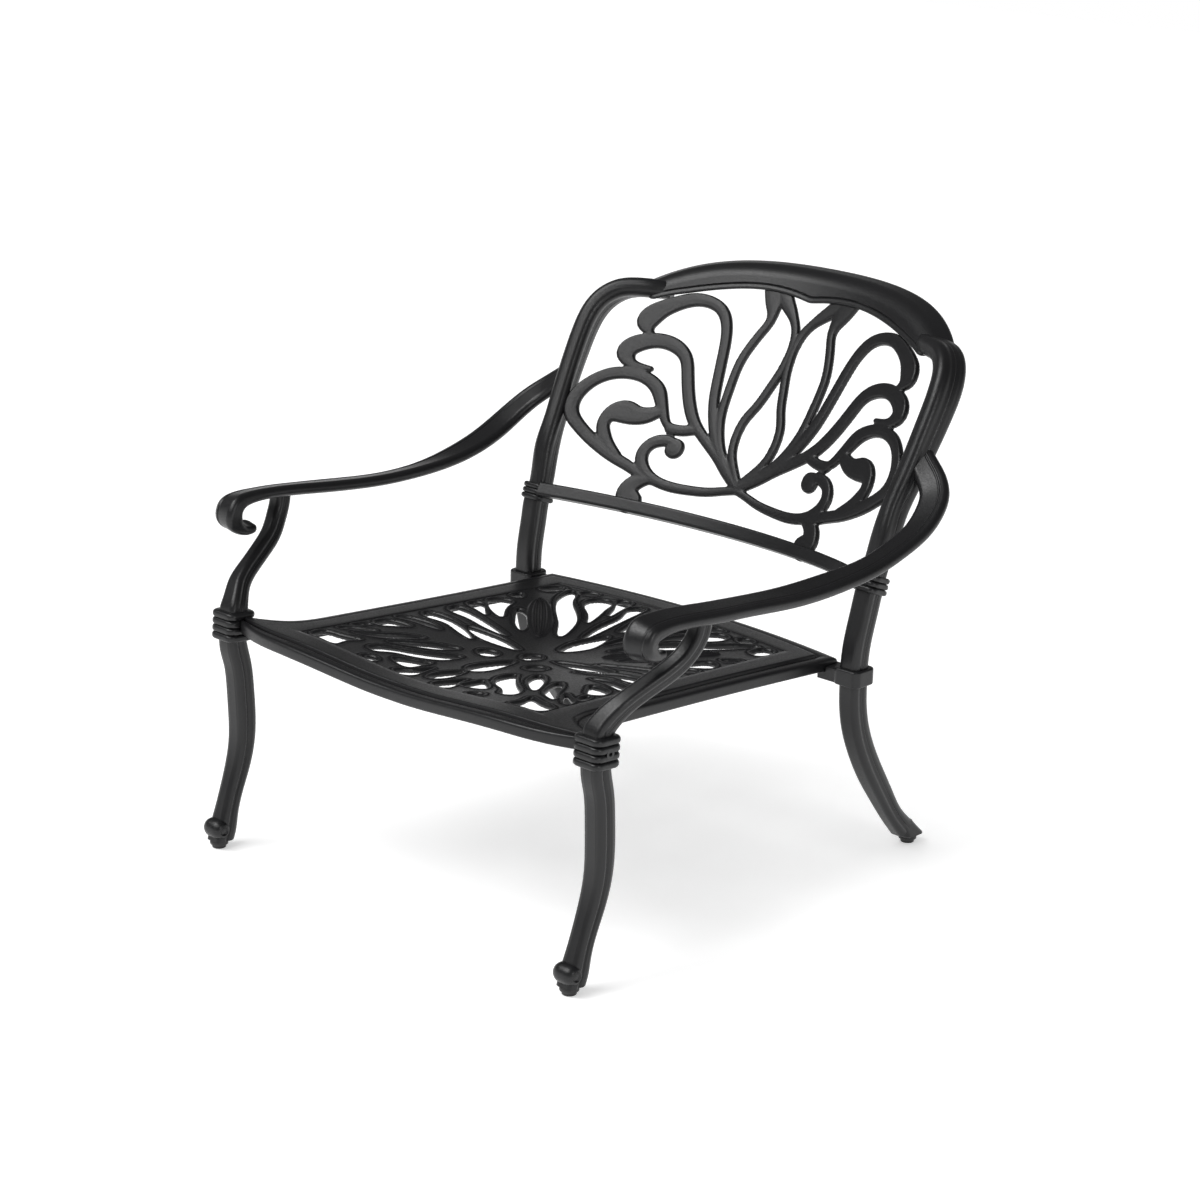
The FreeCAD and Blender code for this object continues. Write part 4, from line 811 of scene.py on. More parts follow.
def crest(depth):
    """Thick top rail: at each place across, a rounded rectangle from the underside, a double arch, to the top.

    Its sides are level from front to rear and its rise leans with the back. The ends close along an oval.
    """
    full = np.linspace(-CREST_HALF_LENGTH, CREST_HALF_LENGTH, 167)
    out = CREST_NOSE * np.sin(np.linspace(0, math.pi / 2, 10)[1:])
    across = np.concatenate([-CREST_HALF_LENGTH - out[::-1], full, CREST_HALF_LENGTH + out])
    beyond = np.clip((np.abs(across) - CREST_HALF_LENGTH) / CREST_NOSE, 0, 0.999)
    taper = 1 - CREST_TAPER * np.clip(np.abs(across) / CREST_HALF_LENGTH, 0, 1) ** 8
    oval = 2.4
    scale = taper * (1 - beyond ** oval) ** (1 / oval)

    def edges(x):
        share = np.abs(x) / CREST_HALF_LENGTH
        arch = CREST_ARCH * np.abs(np.sin(math.pi * x / CREST_ARCH_SPAN)) * np.maximum(1 - share, 0)
        low, high = [a * share ** 2 + b * share ** 4 for a, b in (CREST_UNDERSIDE_FALL, CREST_TOP_FALL)]
        return CREST_UNDERSIDE - low + arch, CREST_TOP - high

    def middle(x):
        return back_place(x, sum(edges(x)) / 2)

    low, high = edges(across)
    centre = back_place(across, (low + high) / 2, depth * BACK_UP[2] / 2 - CREST_OVERHANG)
    ways = unit(middle(across + 4) - middle(across - 4))
    rise = unit(BACK_UP - ways * (ways @ BACK_UP)[:, None])
    side = unit(np.cross(Z_WAY, ways))
    height = high - low - depth * BACK_UP[1]
    groove, lip = (2, -1, 10.0, 1.7, 2.2), (2, -1, 4.5, 4.6, -0.9)
    a, b = outline(np.full_like(height, depth), height, CREST_CORNERS, (groove, lip), flats=34)
    a, b = a * scale[:, None], b * scale[:, None]
    return skinned(centre, side, rise, (a, b))


def side_marks(scale, sunk):
    """Cove, fine groove and bead along both flanks of a bar, at a scale and sunk by a share."""
    cove, groove, bead = (-5.0, 5.6, 1.5), (1.6, 1.2, 1.6), (7.0, 4.4, -0.7)
    return [(flat, 0, shift * scale, half * scale, depth * sunk)
            for flat in (0, 2) for shift, half, depth in (cove, groove, bead)]


def post(width, depth):
    """Upper post: a rounded bar from the back collar up the lean, turned with the back, to under the crest."""
    top = BACK_COLLAR_CENTRE + BACK_COLLAR_AXIS * (BACK_COLLAR_HEIGHT / 2)
    rows = [[*(top - BACK_COLLAR_AXIS * COLLAR_LAP), LEG_STOCK, LEG_STOCK], [*top, LEG_STOCK, LEG_STOCK]]
    rears = [Y_WAY, Y_WAY]
    for across, back, up, wide, deep, turn in POST_ROOT:
        rows.append([*(top + [across, back, up]), wide, deep])
        rears.append(np.array([turn, 1, 0]))
    for across, up, level, share in POST_LINE:
        rows.append([*back_place(across, up, POST_BEHIND), width, depth * share])
        rears.append(back_rear(across) * [POST_TURN, 1, 1 - level])
    return carried(rows, X_WAY, POST_CORNERS, side_marks(1.0, 0.4), BACK_COLLAR_AXIS, rears=rears, step=3.6,
                   flats=30)


def collar(centre, axis, width, height, rings, groove):
    """Ringed collar: a rounded square along the axis, whose width swells over each ring as a power curve."""
    corner = 11.0
    along = np.linspace(0, rings, rings * 12 + 1)
    swell = (1 - np.abs(2 * (along % 1) - 1) ** 2.6) ** 0.6
    sizes = width - 2 * groove * (1 - swell)
    places = centre + axis * ((along / rings - 0.5) * height)[:, None]
    sections = outline(sizes, sizes, (corner,) * 4, flats=8, turns=8)
    return skinned(places, X_WAY, np.cross(axis, X_WAY), sections)


def collar_end(hand):
    """Middle of a front collar's top (hand 1) or bottom (-1)."""
    return np.array([FRONT_HALF_SPACING, 0.0, COLLAR_MIDDLE]) + SEAT_AXIS * (hand * FRONT_COLLAR_HEIGHT / 2)


def front_leg(stock):
    """Cabriole leg: a rounded bar swept forward under the collar, and a toe turned about a level axis."""
    top = collar_end(-1)
    drop = SEAT_HEIGHT + FRONT_COLLAR_TOP_RISE - FRONT_COLLAR_HEIGHT - FOOT_HEIGHT
    rows = [[top[0] - FRONT_FOOT_SPLAY * (1 - share), top[1] + forward * FRONT_FOOT_ADVANCE,
             FOOT_HEIGHT + share * drop] + [size * stock / LEG_STOCK] * 2
            for share, forward, size in FRONT_LEG_SHAPE]
    rows.append([*(top + SEAT_AXIS * COLLAR_LAP), stock, stock])
    cove, beads = (-1.0, 3.2, 2.3), ((-6.5, 2.6, -0.6), (5.5, 3.4, -0.6))
    marks = [(flat, 0, *mark) for flat in (0, 2) for mark in (cove, *beads)]
    marks += [(flat, 0, shift, 1.0, 0.7) for flat in (1, 3) for shift in (-8.0, 8.0)]
    bar = carried(rows, X_WAY, (8.0,) * 4, marks, Z_WAY, SEAT_AXIS, flats=28)
    half = TOE_WIDTH / 2
    swell = np.linspace(-1, 1, 19)
    profile = np.stack([TOE_RADIUS * (1 - np.abs(swell) ** 3.2 * 0.34), half * swell], -1)
    dimple = [(TOE_RADIUS * r, half + h) for r, h in ((0.50, 0.6), (0.36, -1.2), (0.14, -0.2))]
    profile = np.vstack([[(r, -h) for r, h in dimple[::-1]], profile, dimple])
    centre = np.array([rows[0][0], -FRONT_FOOT_ADVANCE - TOE_ADVANCE, FOOT_HEIGHT + TOE_RISE])
    return [bar, turned(profile, centre, X_WAY, Y_WAY)]


def rear_leg(stock):
    """Raked leg: a rounded bar through the lug into the back collar, and a flared heel over the glide."""
    drop = LUG_BOTTOM - FOOT_HEIGHT
    rake = REAR_FOOT_SETBACK - LUG_SETBACK
    rows = [[REAR_HALF_SPACING, LUG_SETBACK + rake * back, FOOT_HEIGHT + drop * share,
             width * stock / LEG_STOCK, depth * stock / LEG_STOCK]
            for share, back, width, depth in REAR_LEG_SHAPE]
    base = BACK_COLLAR_CENTRE - BACK_COLLAR_AXIS * (BACK_COLLAR_HEIGHT / 2)
    rise = base[2] - LUG_TOP
    rows += [[*place, stock, stock] for place in (
        (REAR_HALF_SPACING, LUG_SETBACK, LUG_BOTTOM + 2),
        (REAR_HALF_SPACING, LUG_SETBACK, LUG_TOP + 2),
        (REAR_HALF_SPACING + 1, LUG_SETBACK + 3, LUG_TOP + 0.35 * rise),
        (POST_HALF_SPACING - 1, base[1] - 6, LUG_TOP + 0.75 * rise),
        base, base + BACK_COLLAR_AXIS * COLLAR_LAP)]
    bar = carried(rows, X_WAY, (8.0,) * 4, side_marks(0.75, 0.6), None, BACK_COLLAR_AXIS, flats=28)
    share = np.linspace(0, 1, 16)
    flare = (1 - share) ** 1.6
    height = FOOT_HEIGHT + HEEL_HEIGHT * share
    setback = REAR_FOOT_SETBACK - HEEL_RAKE + (HEEL_RAKE - HEEL_SET) * (1 - share)
    edge = 1 - 0.10 * np.clip(1 - share / 0.12, 0, 1) ** 2
    sections = outline(HEEL_WIDTH - (HEEL_WIDTH - HEEL_NECK_WIDTH) * share * edge,
                       (LEG_STOCK + HEEL_FLARE * flare) * edge, (9.0,) * 4, flats=10)
    centre = np.stack([np.full_like(share, REAR_HALF_SPACING), setback, height], -1)
    return [bar, skinned(centre, X_WAY, Y_WAY, sections)]


def arm_rail(width, thickness):
    """Arm: a flat oval from the scroll's rounded tip, down the long dip and round the hook into the post."""
    rows = [[ARM_HALF_SPACING + out, back, ARM_HEIGHT + up,
             wide * width / ARM_WIDTH, high * thickness / ARM_THICKNESS]
            for (out, back, up, roll), wide, high in zip(ARM_LINE, ARM_WIDTHS, ARM_THICKNESSES)]
    rolls = [roll for out, back, up, roll in ARM_LINE]
    side = np.array([-math.cos(ARM_CANT), 0, -math.sin(ARM_CANT)])
    radius = ARM_CORNER_SHARE * thickness
    bead, groove = (1, -1, 9.5, 1.5, -0.7), (1, -1, 12.3, 1.4, 0.7)
    return carried(rows, side, (radius,) * 4, (bead, groove), rolls=rolls, nose=ARM_NOSE, step=3.0, flats=26)


def arm_support(stock):
    """S-shaped support from the front collar up to the arm's underside."""
    top = collar_end(1)
    rows = [[*(top - SEAT_AXIS * COLLAR_LAP), LEG_STOCK, LEG_STOCK], [*top, LEG_STOCK, LEG_STOCK]]
    for out, back, up, size in SUPPORT_LINE:
        rows.append([*(top + [out, back, up])] + [size * stock / SUPPORT_STOCK] * 2)
    return carried(rows, X_WAY, (7.0,) * 4, side_marks(0.62, 0.5), SEAT_AXIS, Z_WAY, step=3.0, flats=28)


def cross_rail():
    """Lower rail of the back, a rounded bar along the back's curve between the collars."""
    reach = POST_HALF_SPACING - BACK_COLLAR_WIDTH / 2 + CROSS_RAIL_LAP
    across = np.linspace(-reach, reach, 120)
    up = CROSS_RAIL_UP + CROSS_RAIL_RISE * (across / CROSS_RAIL_RISE_REACH) ** 2
    centre = back_place(across, up, CROSS_RAIL_DEPTH / 2 - CROSS_RAIL_OVERHANG)
    ways = unit(np.gradient(centre, axis=0))
    side = unit(np.cross(BACK_UP, ways))
    depth, height = np.full_like(across, CROSS_RAIL_DEPTH), np.full_like(across, CROSS_RAIL_HEIGHT)
    return skinned(centre, side, BACK_UP, outline(depth, height, (CROSS_RAIL_CORNER,) * 4, flats=12))


def beside(x, y, points, margin):
    """Which places lie in the box round some points, so much larger on each side."""
    low, high = points.min(axis=0) - margin, points.max(axis=0) + margin
    return (x > low[0]) & (x < high[0]) & (y > low[1]) & (y < high[1])


def ribbon_depth(x, y, line):
    """Depth into a ribbon: half its width at the nearest point of its centre line, less the distance there."""
    fine = curve(line, 2, 4.0)
    margin = fine[:, 2].max() + RIBBON_FAR
    depth = np.full(x.shape, -RIBBON_FAR)
    near = beside(x, y, fine, margin)
    points = np.stack([x[near], y[near]], -1)[:, None]
    start, step = fine[None, :-1], np.diff(fine, axis=0)[None]
    share = ((points - start[..., :2]) * step[..., :2]).sum(-1) / (step[..., :2] ** 2).sum(-1)
    share = np.clip(share, 0, 1)[..., None]
    nearest = start + step * share
    gap = np.linalg.norm(points - nearest[..., :2], axis=-1)
    depth[near] = np.maximum((nearest[..., 2] - gap).max(axis=1), -RIBBON_FAR)
    return depth


def half_grid(reach, start, stop, pitch):
    """Grid lines over a symmetric sheet, and the points of its right half."""
    count = int(math.ceil(reach / pitch))
    right = np.arange(count + 1) * pitch
    ys = np.arange(start, stop + pitch, pitch)
    return np.concatenate([-right[:0:-1], right]), ys, *np.meshgrid(right, ys)


def both_halves(values):
    return np.hstack([values[:, :0:-1], values])


def back_openwork(thickness, pitch, edge):
    """Scroll openwork: a pierced sheet on the back's cylinder, as deep as the deepest ribbon, blended smoothly.

    Both faces fall to every edge along an oval, and the front swells a little with the depth.
    """
    xs, ys, x, y = half_grid(OPENWORK_HALF_WIDTH, OPENWORK_BOTTOM, OPENWORK_TOP, pitch)
    depth = np.full(x.shape, -RIBBON_FAR)
    for line in RIBBONS:
        new = ribbon_depth(x, y, line)
        lap = np.clip(RIBBON_BLEND - np.abs(depth - new), 0, None) / RIBBON_BLEND
        depth = np.maximum(depth, new) + lap ** 2 * RIBBON_BLEND / 4
    reach = np.interp(ys, OPENWORK_HEIGHTS, OPENWORK_REACH)[:, None]
    depth = both_halves(np.minimum(depth, reach - x))
    inner = np.where(np.abs(depth) < pitch / 2, 0, depth)
    swell = 0.5 * np.clip(inner / 9, 0, 1)
    fall = rounded_edge(inner, edge, 0.8 * edge)
    return openwork(depth, xs, ys, back_place, fall - swell, thickness - fall)


def outline_depth(x, y, loop):
    """Distance of points outside a closed loop of points, negative within it."""
    start, stop = loop[None], np.roll(loop, -1, axis=0)[None]
    points = np.stack([x, y], -1)[:, None]
    step = stop - start
    share = np.clip(((points - start) * step).sum(-1) / (step ** 2).sum(-1), 0, 1)[..., None]
    gap = np.linalg.norm(points - start - step * share, axis=-1).min(axis=1)
    spans = (start[..., 1] > points[..., 1]) != (stop[..., 1] > points[..., 1])
    rise = np.where(step[..., 1] == 0, 1.0, step[..., 1])
    crossing = start[..., 0] + (points[..., 1] - start[..., 1]) * step[..., 0] / rise
    within = (spans & (points[..., 0] < crossing)).sum(axis=1) % 2 == 1
    return np.where(within, -gap, gap)


def seat_openwork(thickness, pitch, edge):
    """Leaf panel: a pierced sheet that follows the seat, with a raised lip along each opening.

    Depth is the distance to the nearest opening. The upper face falls to each opening along an oval,
    has a groove 6 mm inside it and lies a little lower beyond. A leaf in each rear corner rises as
    one less its radius squared, with veins as a cosine across it.
    """
    room = 4
    rear = OPENING_REAR + OPENING_REAR_BOW
    xs, ys, x, y = half_grid(OPENING_HALF_FRONT + room, OPENING_FRONT - room, rear + room, pitch)
    loops = [curve(list(half) + [(-a, b) for a, b in half[-2:0:-1]], 2, 3.0, True) for half in MIDDLE_SLOTS]
    loops += [curve(slot, 2, 3.0, True) for slot in SIDE_SLOTS]
    depth = np.full(x.shape, PANEL_FAR)
    for loop in loops:
        near = beside(x, y, loop, PANEL_FAR)
        depth[near] = np.minimum(depth[near], outline_depth(x[near], y[near], loop))
    radius = arc_radius(OPENING_HALF_REAR, OPENING_REAR_BOW)
    half_width = np.interp(y, [OPENING_FRONT, OPENING_REAR], [OPENING_HALF_FRONT, OPENING_HALF_REAR])
    bow = radius - np.hypot(x, y - (OPENING_REAR + OPENING_REAR_BOW - radius))
    panel = np.minimum(np.minimum(half_width - x, y - OPENING_FRONT), bow) + PANEL_LAP
    inner = np.where(np.abs(depth) < pitch / 2, 0, np.maximum(depth, 0))
    along = (x - LEAF_CENTRE[0]) * LEAF_WAY[0] + (y - LEAF_CENTRE[1]) * LEAF_WAY[1]
    aside = (x - LEAF_CENTRE[0]) * LEAF_WAY[1] - (y - LEAF_CENTRE[1]) * LEAF_WAY[0]
    girth = LEAF_HALF_WIDTH * np.sqrt(np.clip(1 - (along / LEAF_HALF_LENGTH) ** 2, 0.02, 1))
    leaf = np.clip(1 - (aside / girth) ** 2, 0, 1) * (np.abs(along) < LEAF_HALF_LENGTH)
    veins = np.cos(2 * math.pi * LEAF_VEINS * aside / girth) * LEAF_VEIN * leaf
    plain = 1 - np.clip(leaf * 3, 0, 1)
    groove = (GROOVE_DEPTH * bump((inner - GROOVE_PLACE) / GROOVE_HALF) +
              FALL_DEPTH * np.clip((inner - FALL_START) / FALL_WIDTH, 0, 1))
    top = -PANEL_DROP - rounded_edge(inner, edge, 0.85 * edge) - groove * plain + LEAF_RISE * leaf + veins
    under = -thickness + rounded_edge(inner, 1.8, 1.5)
    solid = both_halves(np.minimum(depth, panel))

    def place(across, back, height):
        return np.stack([across, back, seat_top(across, back) + height], -1)

    return openwork(solid, xs, ys, place, both_halves(top), both_halves(under))


def arc_radius(half, bow):
    """Radius of an arc from half its width and its bow: the sum of their squares by twice the bow."""
    return (half ** 2 + bow ** 2) / (2 * bow)


def half_outline(inset):
    """Right half of the seat's outline in plan, so far inside its edge, from front middle to rear middle."""
    half = SEAT_HALF_WIDTH - inset
    front = SEAT_FRONT_EDGE + inset
    face = FRONT_HALF_SPACING - FRONT_COLLAR_WIDTH / 2
    cheek_front = front + CHEEK_SETBACK - inset * CHEEK_FRONT_SHARE
    cheek_back = OPENING_FRONT - inset * CHEEK_BACK_SHARE
    rear_corner = SEAT_REAR_EDGE - SEAT_REAR_BOW - inset
    front_curve = curve([(0, front)] + [(half * share, front - bow) for share, bow in FRONT_EDGE_BOW] +
                        [(face - CHEEK_TURN, (2 * cheek_front + front) / 3), (face, cheek_front)],
                        2, count=70)
    cheek = np.linspace((face, cheek_front), (face, cheek_back), 8)[1:-1]
    side = curve([(face, cheek_back), (half + FLARE_WIDTH, cheek_back + FLARE_LENGTH * FLARE_SHARE),
                  (half + SEAT_SWELL, cheek_back + FLARE_LENGTH),
                  (half - SEAT_SWELL, rear_corner * SEAT_SWELL_SHARE), (half, rear_corner)], 2, count=120)
    radius = arc_radius(half, SEAT_REAR_BOW)
    rear_x = np.linspace(half, 0, 60)[1:]
    rear = np.stack([rear_x, rear_corner + SEAT_REAR_BOW - radius + np.sqrt(radius ** 2 - rear_x ** 2)], -1)
    return front_curve, np.vstack([cheek, side]), rear


def seat_border():
    """Border: one closed profile carried round the seat, in plan between its outer edge and the panel's.

    The profile is a flat band, a groove, a square edge that turns down, a lip, and the underside. A
    place is a share of the way from the panel to the groove, or a distance inside the outer edge.
    """
    front, side, rear = half_outline(BORDER_STEP)
    at_groove = np.vstack([front, side, rear])
    radius = arc_radius(OPENING_HALF_REAR, OPENING_REAR_BOW)
    front_x = front[:, 0] * OPENING_HALF_FRONT / front[-1, 0]
    inner_front = np.stack([front_x, np.full(len(front), OPENING_FRONT)], -1)
    corners = (OPENING_HALF_FRONT, OPENING_FRONT), (OPENING_HALF_REAR, OPENING_REAR)
    inner_side = np.linspace(*corners, len(side) + 1)[1:]
    rear_x = rear[:, 0] * OPENING_HALF_REAR / side[-1, 0]
    rear_y = OPENING_REAR + OPENING_REAR_BOW - radius + np.sqrt(radius ** 2 - rear_x ** 2)
    at_panel = np.vstack([inner_front, inner_side, np.stack([rear_x, rear_y], -1)])
    rings = [(at_panel + (at_groove - at_panel) * share, drop) for share, drop in BORDER_BAND]
    rings += [(np.vstack(half_outline(inset)), drop) for inset, drop in BORDER_EDGE]
    rings += [(at_panel + (at_groove - at_panel) * share, drop) for share, drop in BORDER_UNDER]
    plan = np.stack([place for place, drop in rings], axis=1)
    drops = np.array([drop for place, drop in rings])
    half = np.dstack([plan, seat_top(plan[..., 0], plan[..., 1]) - drops])
    left = half[-2:0:-1] * [-1, 1, 1]
    return tube(np.vstack([half, left]), loop=True)


def glide(foot):
    """Stepped round foot: a profile with rounded edges turned about its stud."""
    return turned(GLIDE_PROFILE, np.array(foot), Z_WAY, X_WAY)


# What a user sets

def length(name, description, default, low, high):
    """Setting that is a length in metres."""
    return FloatProperty(name=name, description=description, default=default, min=low, max=high,
                         unit="LENGTH")


def tone(name, description, colour):
    """Setting that is a colour, its default an sRGB hex one."""
    return FloatVectorProperty(name=name, description=description, default=linear(colour), min=0, max=1,
                               size=4, subtype="COLOR")


class ChairSizes(PropertyGroup):
    """Sizes of the castings, in metres."""
    crest_depth: length("Crest depth", "Depth of the top rail from front to rear", 0.048, 0.02, 0.08)
    post_width: length("Post width", "Width of an upper post seen from the front", 0.0275, 0.015, 0.05)
    post_depth: length("Post depth", "Depth of an upper post", 0.046, 0.02, 0.06)
    leg_stock: length("Leg stock", "Width of the legs' square stock", 0.031, 0.02, 0.045)
    support_stock: length("Support stock", "Width of an arm support above its collar", 0.024, 0.015, 0.035)
    arm_width: length("Arm width", "Width of an arm's flat oval", 0.042, 0.02, 0.07)
    arm_thickness: length("Arm thickness", "Thickness of an arm's flat oval", 0.0155, 0.008, 0.03)
    front_collar: length("Front collar width", "Width over the rings of a front collar", 0.046, 0.035, 0.07)
    back_collar: length("Back collar width", "Width over the rings of a back collar", 0.040, 0.034, 0.06)
    back_thickness: length("Openwork thickness", "Thickness of the back's ribbons", 0.009, 0.004, 0.02)
    seat_thickness: length("Panel thickness", "Thickness of the seat's leaf panel", 0.008, 0.004, 0.02)
    back_edge: length("Openwork edge", "Width of the rounding of the back's ribbons", 0.0028, 0.0005, 0.004)
    seat_edge: length("Panel edge", "Width of the rounding of the seat's openings", 0.0034, 0.0005, 0.005)
    cell: length("Mesh cell", "Cell of the grid under the openwork", 0.0014, 0.0008, 0.005)


class ChairColours(PropertyGroup):
    """Colours of the finishes and the floor, and the studio's light."""
    coat: tone("Coat", "Lighter tone of the powder coat", "#18181a")
    coat_shade: tone("Coat shade", "Darker tone of the powder coat", "#121213")
    plastic: tone("Glide", "Darker tone of the glides' plastic", "#161616")
    plastic_light: tone("Glide light", "Lighter tone of the glides' plastic", "#1e1e1e")
    plating: tone("Plating", "Lighter tone of the zinc plating", "#c3c6c9")
    plating_shade: tone("Plating shade", "Darker tone of the zinc plating", "#a4a8ac")
    floor: tone("Floor", "Colour of the studio floor", "#f4f4f4")
    lamp_power: FloatProperty(name="Lamp power", description="Power of the largest soft box", default=20.0,
                              min=0.0, max=1000.0, unit="POWER")
    floor_sides: IntProperty(name="Floor cells", description="Cells along one side of the floor", default=24,
                             min=2, max=200)


# What builds the pieces

def coated(context):
    """Finish of a casting: the powder coat's material and its slot."""
    return powder_coat(context), "powder_coat"


class GARDEN_CHAIR_OT_seat_border(Operator):
    """Build the seat's border with its groove and turned-down edge"""
    bl_idname = "garden_chair.seat_border"
    bl_label = "Seat border"

    def execute(self, context):
        nodes = ["seat_front_rail", "seat_rear_rail", "seat_side_rail_left", "seat_side_rail_right"]
        put("seat_border_casting", [seat_border()], coated(context), nodes)
        return {"FINISHED"}


class GARDEN_CHAIR_OT_seat_panel(Operator):
    """Build the pierced leaf panel of the seat"""
    bl_idname = "garden_chair.seat_panel"
    bl_label = "Leaf panel"

    def execute(self, context):
        sizes = context.scene.chair_sizes
        shell = seat_openwork(mm(sizes.seat_thickness), 1.2 * mm(sizes.cell), mm(sizes.seat_edge))
        put("leaf_panel_casting", [shell], coated(context), ["seat_leaf_panel"], crease=80.0)
        return {"FINISHED"}


class GARDEN_CHAIR_OT_back_openwork(Operator):
    """Build the scroll openwork of the back"""
    bl_idname = "garden_chair.back_openwork"
    bl_label = "Back openwork"

    def execute(self, context):
        sizes = context.scene.chair_sizes
        shell = back_openwork(mm(sizes.back_thickness), mm(sizes.cell), mm(sizes.back_edge))
        put("scroll_openwork_casting", [shell], coated(context), ["back_grille"], crease=80.0)
        return {"FINISHED"}


class GARDEN_CHAIR_OT_crest(Operator):
    """Build the arched crest rail"""
    bl_idname = "garden_chair.crest"
    bl_label = "Crest rail"

    def execute(self, context):
        shell = crest(mm(context.scene.chair_sizes.crest_depth))
        put("crest_rail_casting", [shell], coated(context), ["crest_rail"])
        return {"FINISHED"}


class GARDEN_CHAIR_OT_posts(Operator):
    """Build the two upper posts"""
    bl_idname = "garden_chair.posts"
    bl_label = "Upper posts"

    def execute(self, context):
        sizes = context.scene.chair_sizes
        shell = post(mm(sizes.post_width), mm(sizes.post_depth))
        put_pair("post_casting", [shell], coated(context), "back_post")
        return {"FINISHED"}


class GARDEN_CHAIR_OT_cross_rail(Operator):
    """Build the lower rail of the back"""
    bl_idname = "garden_chair.cross_rail"
    bl_label = "Lower rail"

    def execute(self, context):
        put("lower_rail_casting", [cross_rail()], coated(context), ["back_cross_rail"])
        return {"FINISHED"}


class GARDEN_CHAIR_OT_collars(Operator):
    """Build the four ringed collars"""
    bl_idname = "garden_chair.collars"
    bl_label = "Ringed collars"

    def execute(self, context):
        sizes = context.scene.chair_sizes
        middle = np.array([FRONT_HALF_SPACING, 0.0, COLLAR_MIDDLE])
        front = collar(middle, SEAT_AXIS, mm(sizes.front_collar), FRONT_COLLAR_HEIGHT, 4, 3.2)
        back = collar(BACK_COLLAR_CENTRE, BACK_COLLAR_AXIS, mm(sizes.back_collar), BACK_COLLAR_HEIGHT, 3, 2.6)
        put_pair("front_ring_collar", [front], coated(context), "front_collar")
        put_pair("back_ring_collar", [back], coated(context), "back_collar")
        return {"FINISHED"}


class GARDEN_CHAIR_OT_legs(Operator):
    """Build the four legs with their toes and heels"""
    bl_idname = "garden_chair.legs"
    bl_label = "Legs"

    def execute(self, context):
        stock = mm(context.scene.chair_sizes.leg_stock)
        put_pair("cabriole_leg_casting", front_leg(stock), coated(context), "front_leg")
        put_pair("raked_leg_casting", rear_leg(stock), coated(context), "rear_leg")
        return {"FINISHED"}


class GARDEN_CHAIR_OT_arms(Operator):
    """Build the two arms and their supports"""
    bl_idname = "garden_chair.arms"
    bl_label = "Arms and supports"

    def execute(self, context):
        sizes = context.scene.chair_sizes
        arm = arm_rail(mm(sizes.arm_width), mm(sizes.arm_thickness))
        put_pair("arm_casting", [arm], coated(context), "arm_rail", crease=60.0)
        support = arm_support(mm(sizes.support_stock))
        put_pair("arm_support_casting", [support], coated(context), "arm_support")
        return {"FINISHED"}


class GARDEN_CHAIR_OT_glides(Operator):
    """Build the four levelling glides"""
    bl_idname = "garden_chair.glides"
    bl_label = "Levelling glides"

    def execute(self, context):
        plastic = glide_plastic(context), "glide_plastic"
        front = glide((FRONT_HALF_SPACING - FRONT_FOOT_SPLAY, -FRONT_FOOT_ADVANCE, 0.0))
        rear = glide((REAR_HALF_SPACING, REAR_FOOT_SETBACK - REAR_GLIDE_INSET, 0.0))
        for end, shell in (("front", front), ("rear", rear)):
            put_pair(end + "_glide", [shell], plastic, end + "_glide_foot",
                     [end + hand for hand in ("_right_glide", "_left_glide")])
        return {"FINISHED"}


class GARDEN_CHAIR_OT_fittings(Operator):
    """Finish the lugs, bolts, washers, studs and inserts that keep their own shape"""
    bl_idname = "garden_chair.fittings"
    bl_label = "Fittings"

    def execute(self, context):
        coat, steel, plated = powder_coat(context), painted_steel(context), plated_steel(context)
        for name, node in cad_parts.items():
            if "stud" in name or "insert" in name:
                finish = plated
            elif "bolt" in name or "washer" in name:
                finish = steel
            else:
                finish = coat
            for held in node.material_slots:
                held.material = finish
        return {"FINISHED"}


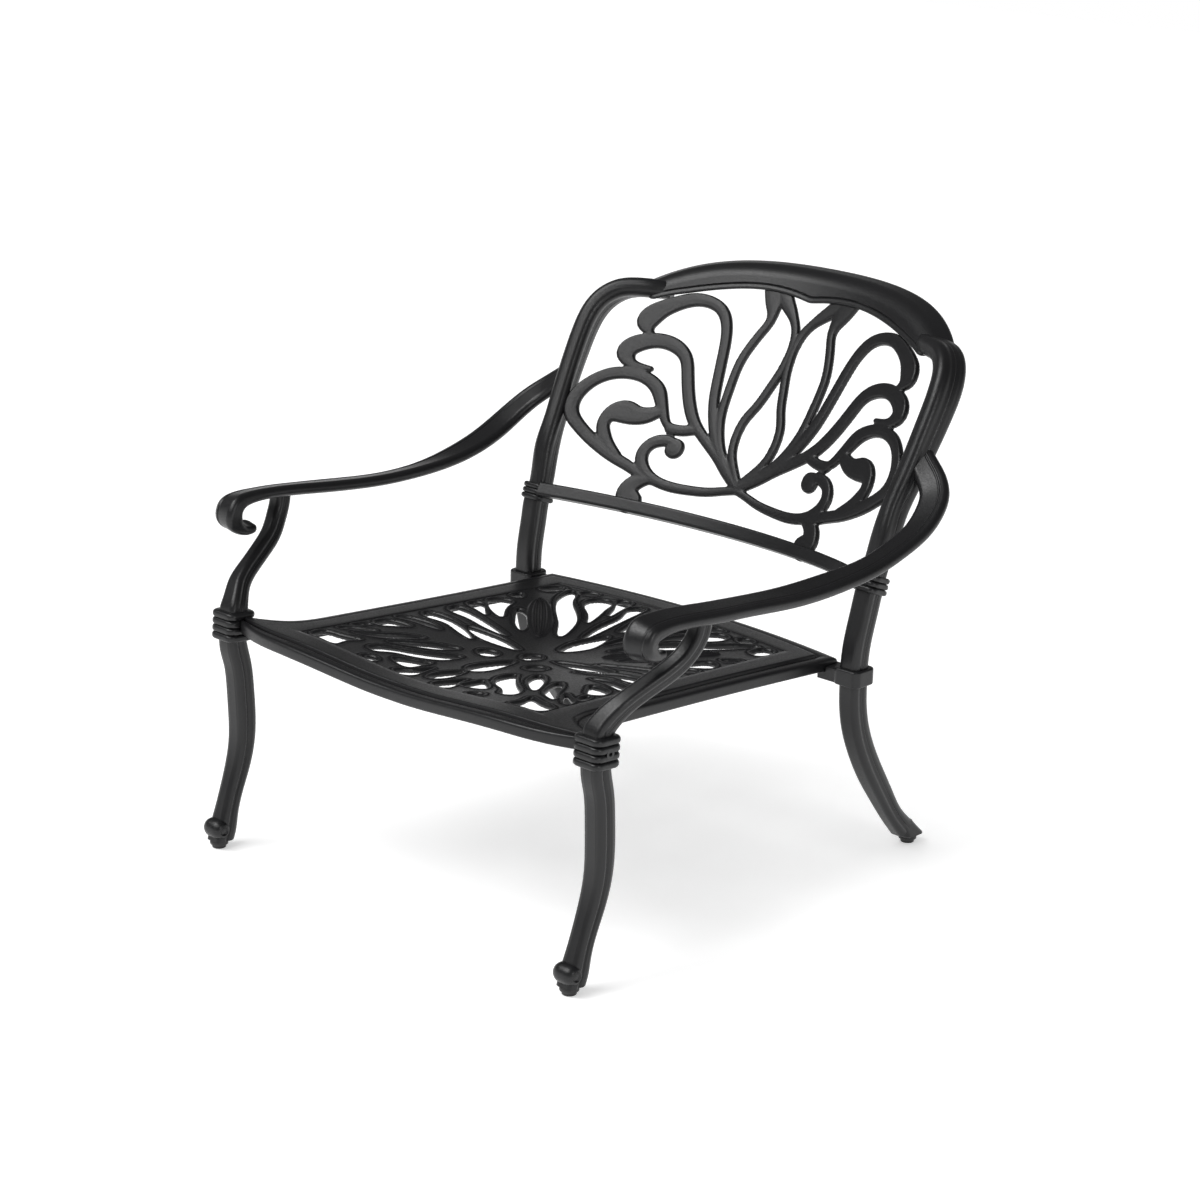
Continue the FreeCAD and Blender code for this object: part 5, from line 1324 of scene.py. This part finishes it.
class GARDEN_CHAIR_OT_stage(Operator):
    """Set the pale floor, soft studio light and the photograph's camera"""
    bl_idname = "garden_chair.stage"
    bl_label = "Stage"

    def execute(self, context):
        context.scene.view_settings.view_transform = "Standard"
        colours = context.scene.chair_colours
        lay_floor(colours)
        for number, (place, width, height, share) in enumerate(SOFT_BOXES):
            lamp = bpy.data.lights.new("soft_box_%d" % number, "AREA")
            lamp.shape = "RECTANGLE"
            lamp.size, lamp.size_y = width, height
            lamp.energy = colours.lamp_power * share
            stand(lamp, place)
        sun = bpy.data.lights.new("broad_overhead_light", "SUN")
        sun.energy, sun.angle = OVERHEAD_POWER, OVERHEAD_ANGLE
        stand(sun, OVERHEAD_PLACE)
        context.scene.world = white_world()
        context.scene.camera = photo_camera()
        return {"FINISHED"}


BUILDERS = (
    GARDEN_CHAIR_OT_seat_border,
    GARDEN_CHAIR_OT_seat_panel,
    GARDEN_CHAIR_OT_back_openwork,
    GARDEN_CHAIR_OT_crest,
    GARDEN_CHAIR_OT_posts,
    GARDEN_CHAIR_OT_cross_rail,
    GARDEN_CHAIR_OT_collars,
    GARDEN_CHAIR_OT_legs,
    GARDEN_CHAIR_OT_arms,
    GARDEN_CHAIR_OT_glides,
    GARDEN_CHAIR_OT_fittings,
    GARDEN_CHAIR_OT_stage,
)


class GARDEN_CHAIR_PT_builder(Panel):
    """Sizes, colours and builders of the chair"""
    bl_idname = "GARDEN_CHAIR_PT_builder"
    bl_label = "Garden Chair"
    bl_space_type = "VIEW_3D"
    bl_region_type = "UI"
    bl_category = "Garden Chair"

    def draw(self, context):
        for group in (context.scene.chair_sizes, context.scene.chair_colours):
            box = self.layout.box()
            for name in group.__annotations__:
                box.prop(group, name)
        for builder in BUILDERS:
            self.layout.operator(builder.bl_idname)


CLASSES = (ChairSizes, ChairColours) + BUILDERS + (GARDEN_CHAIR_PT_builder,)


def register():
    for cls in CLASSES:
        bpy.utils.register_class(cls)
    bpy.types.Scene.chair_sizes = PointerProperty(type=ChairSizes)
    bpy.types.Scene.chair_colours = PointerProperty(type=ChairColours)


def unregister():
    del bpy.types.Scene.chair_sizes
    del bpy.types.Scene.chair_colours
    for cls in reversed(CLASSES):
        bpy.utils.unregister_class(cls)


def main():
    register()
    for builder in BUILDERS:
        group, name = builder.bl_idname.split(".")
        getattr(getattr(bpy.ops, group), name)()


if __name__ == "__main__":
    main()
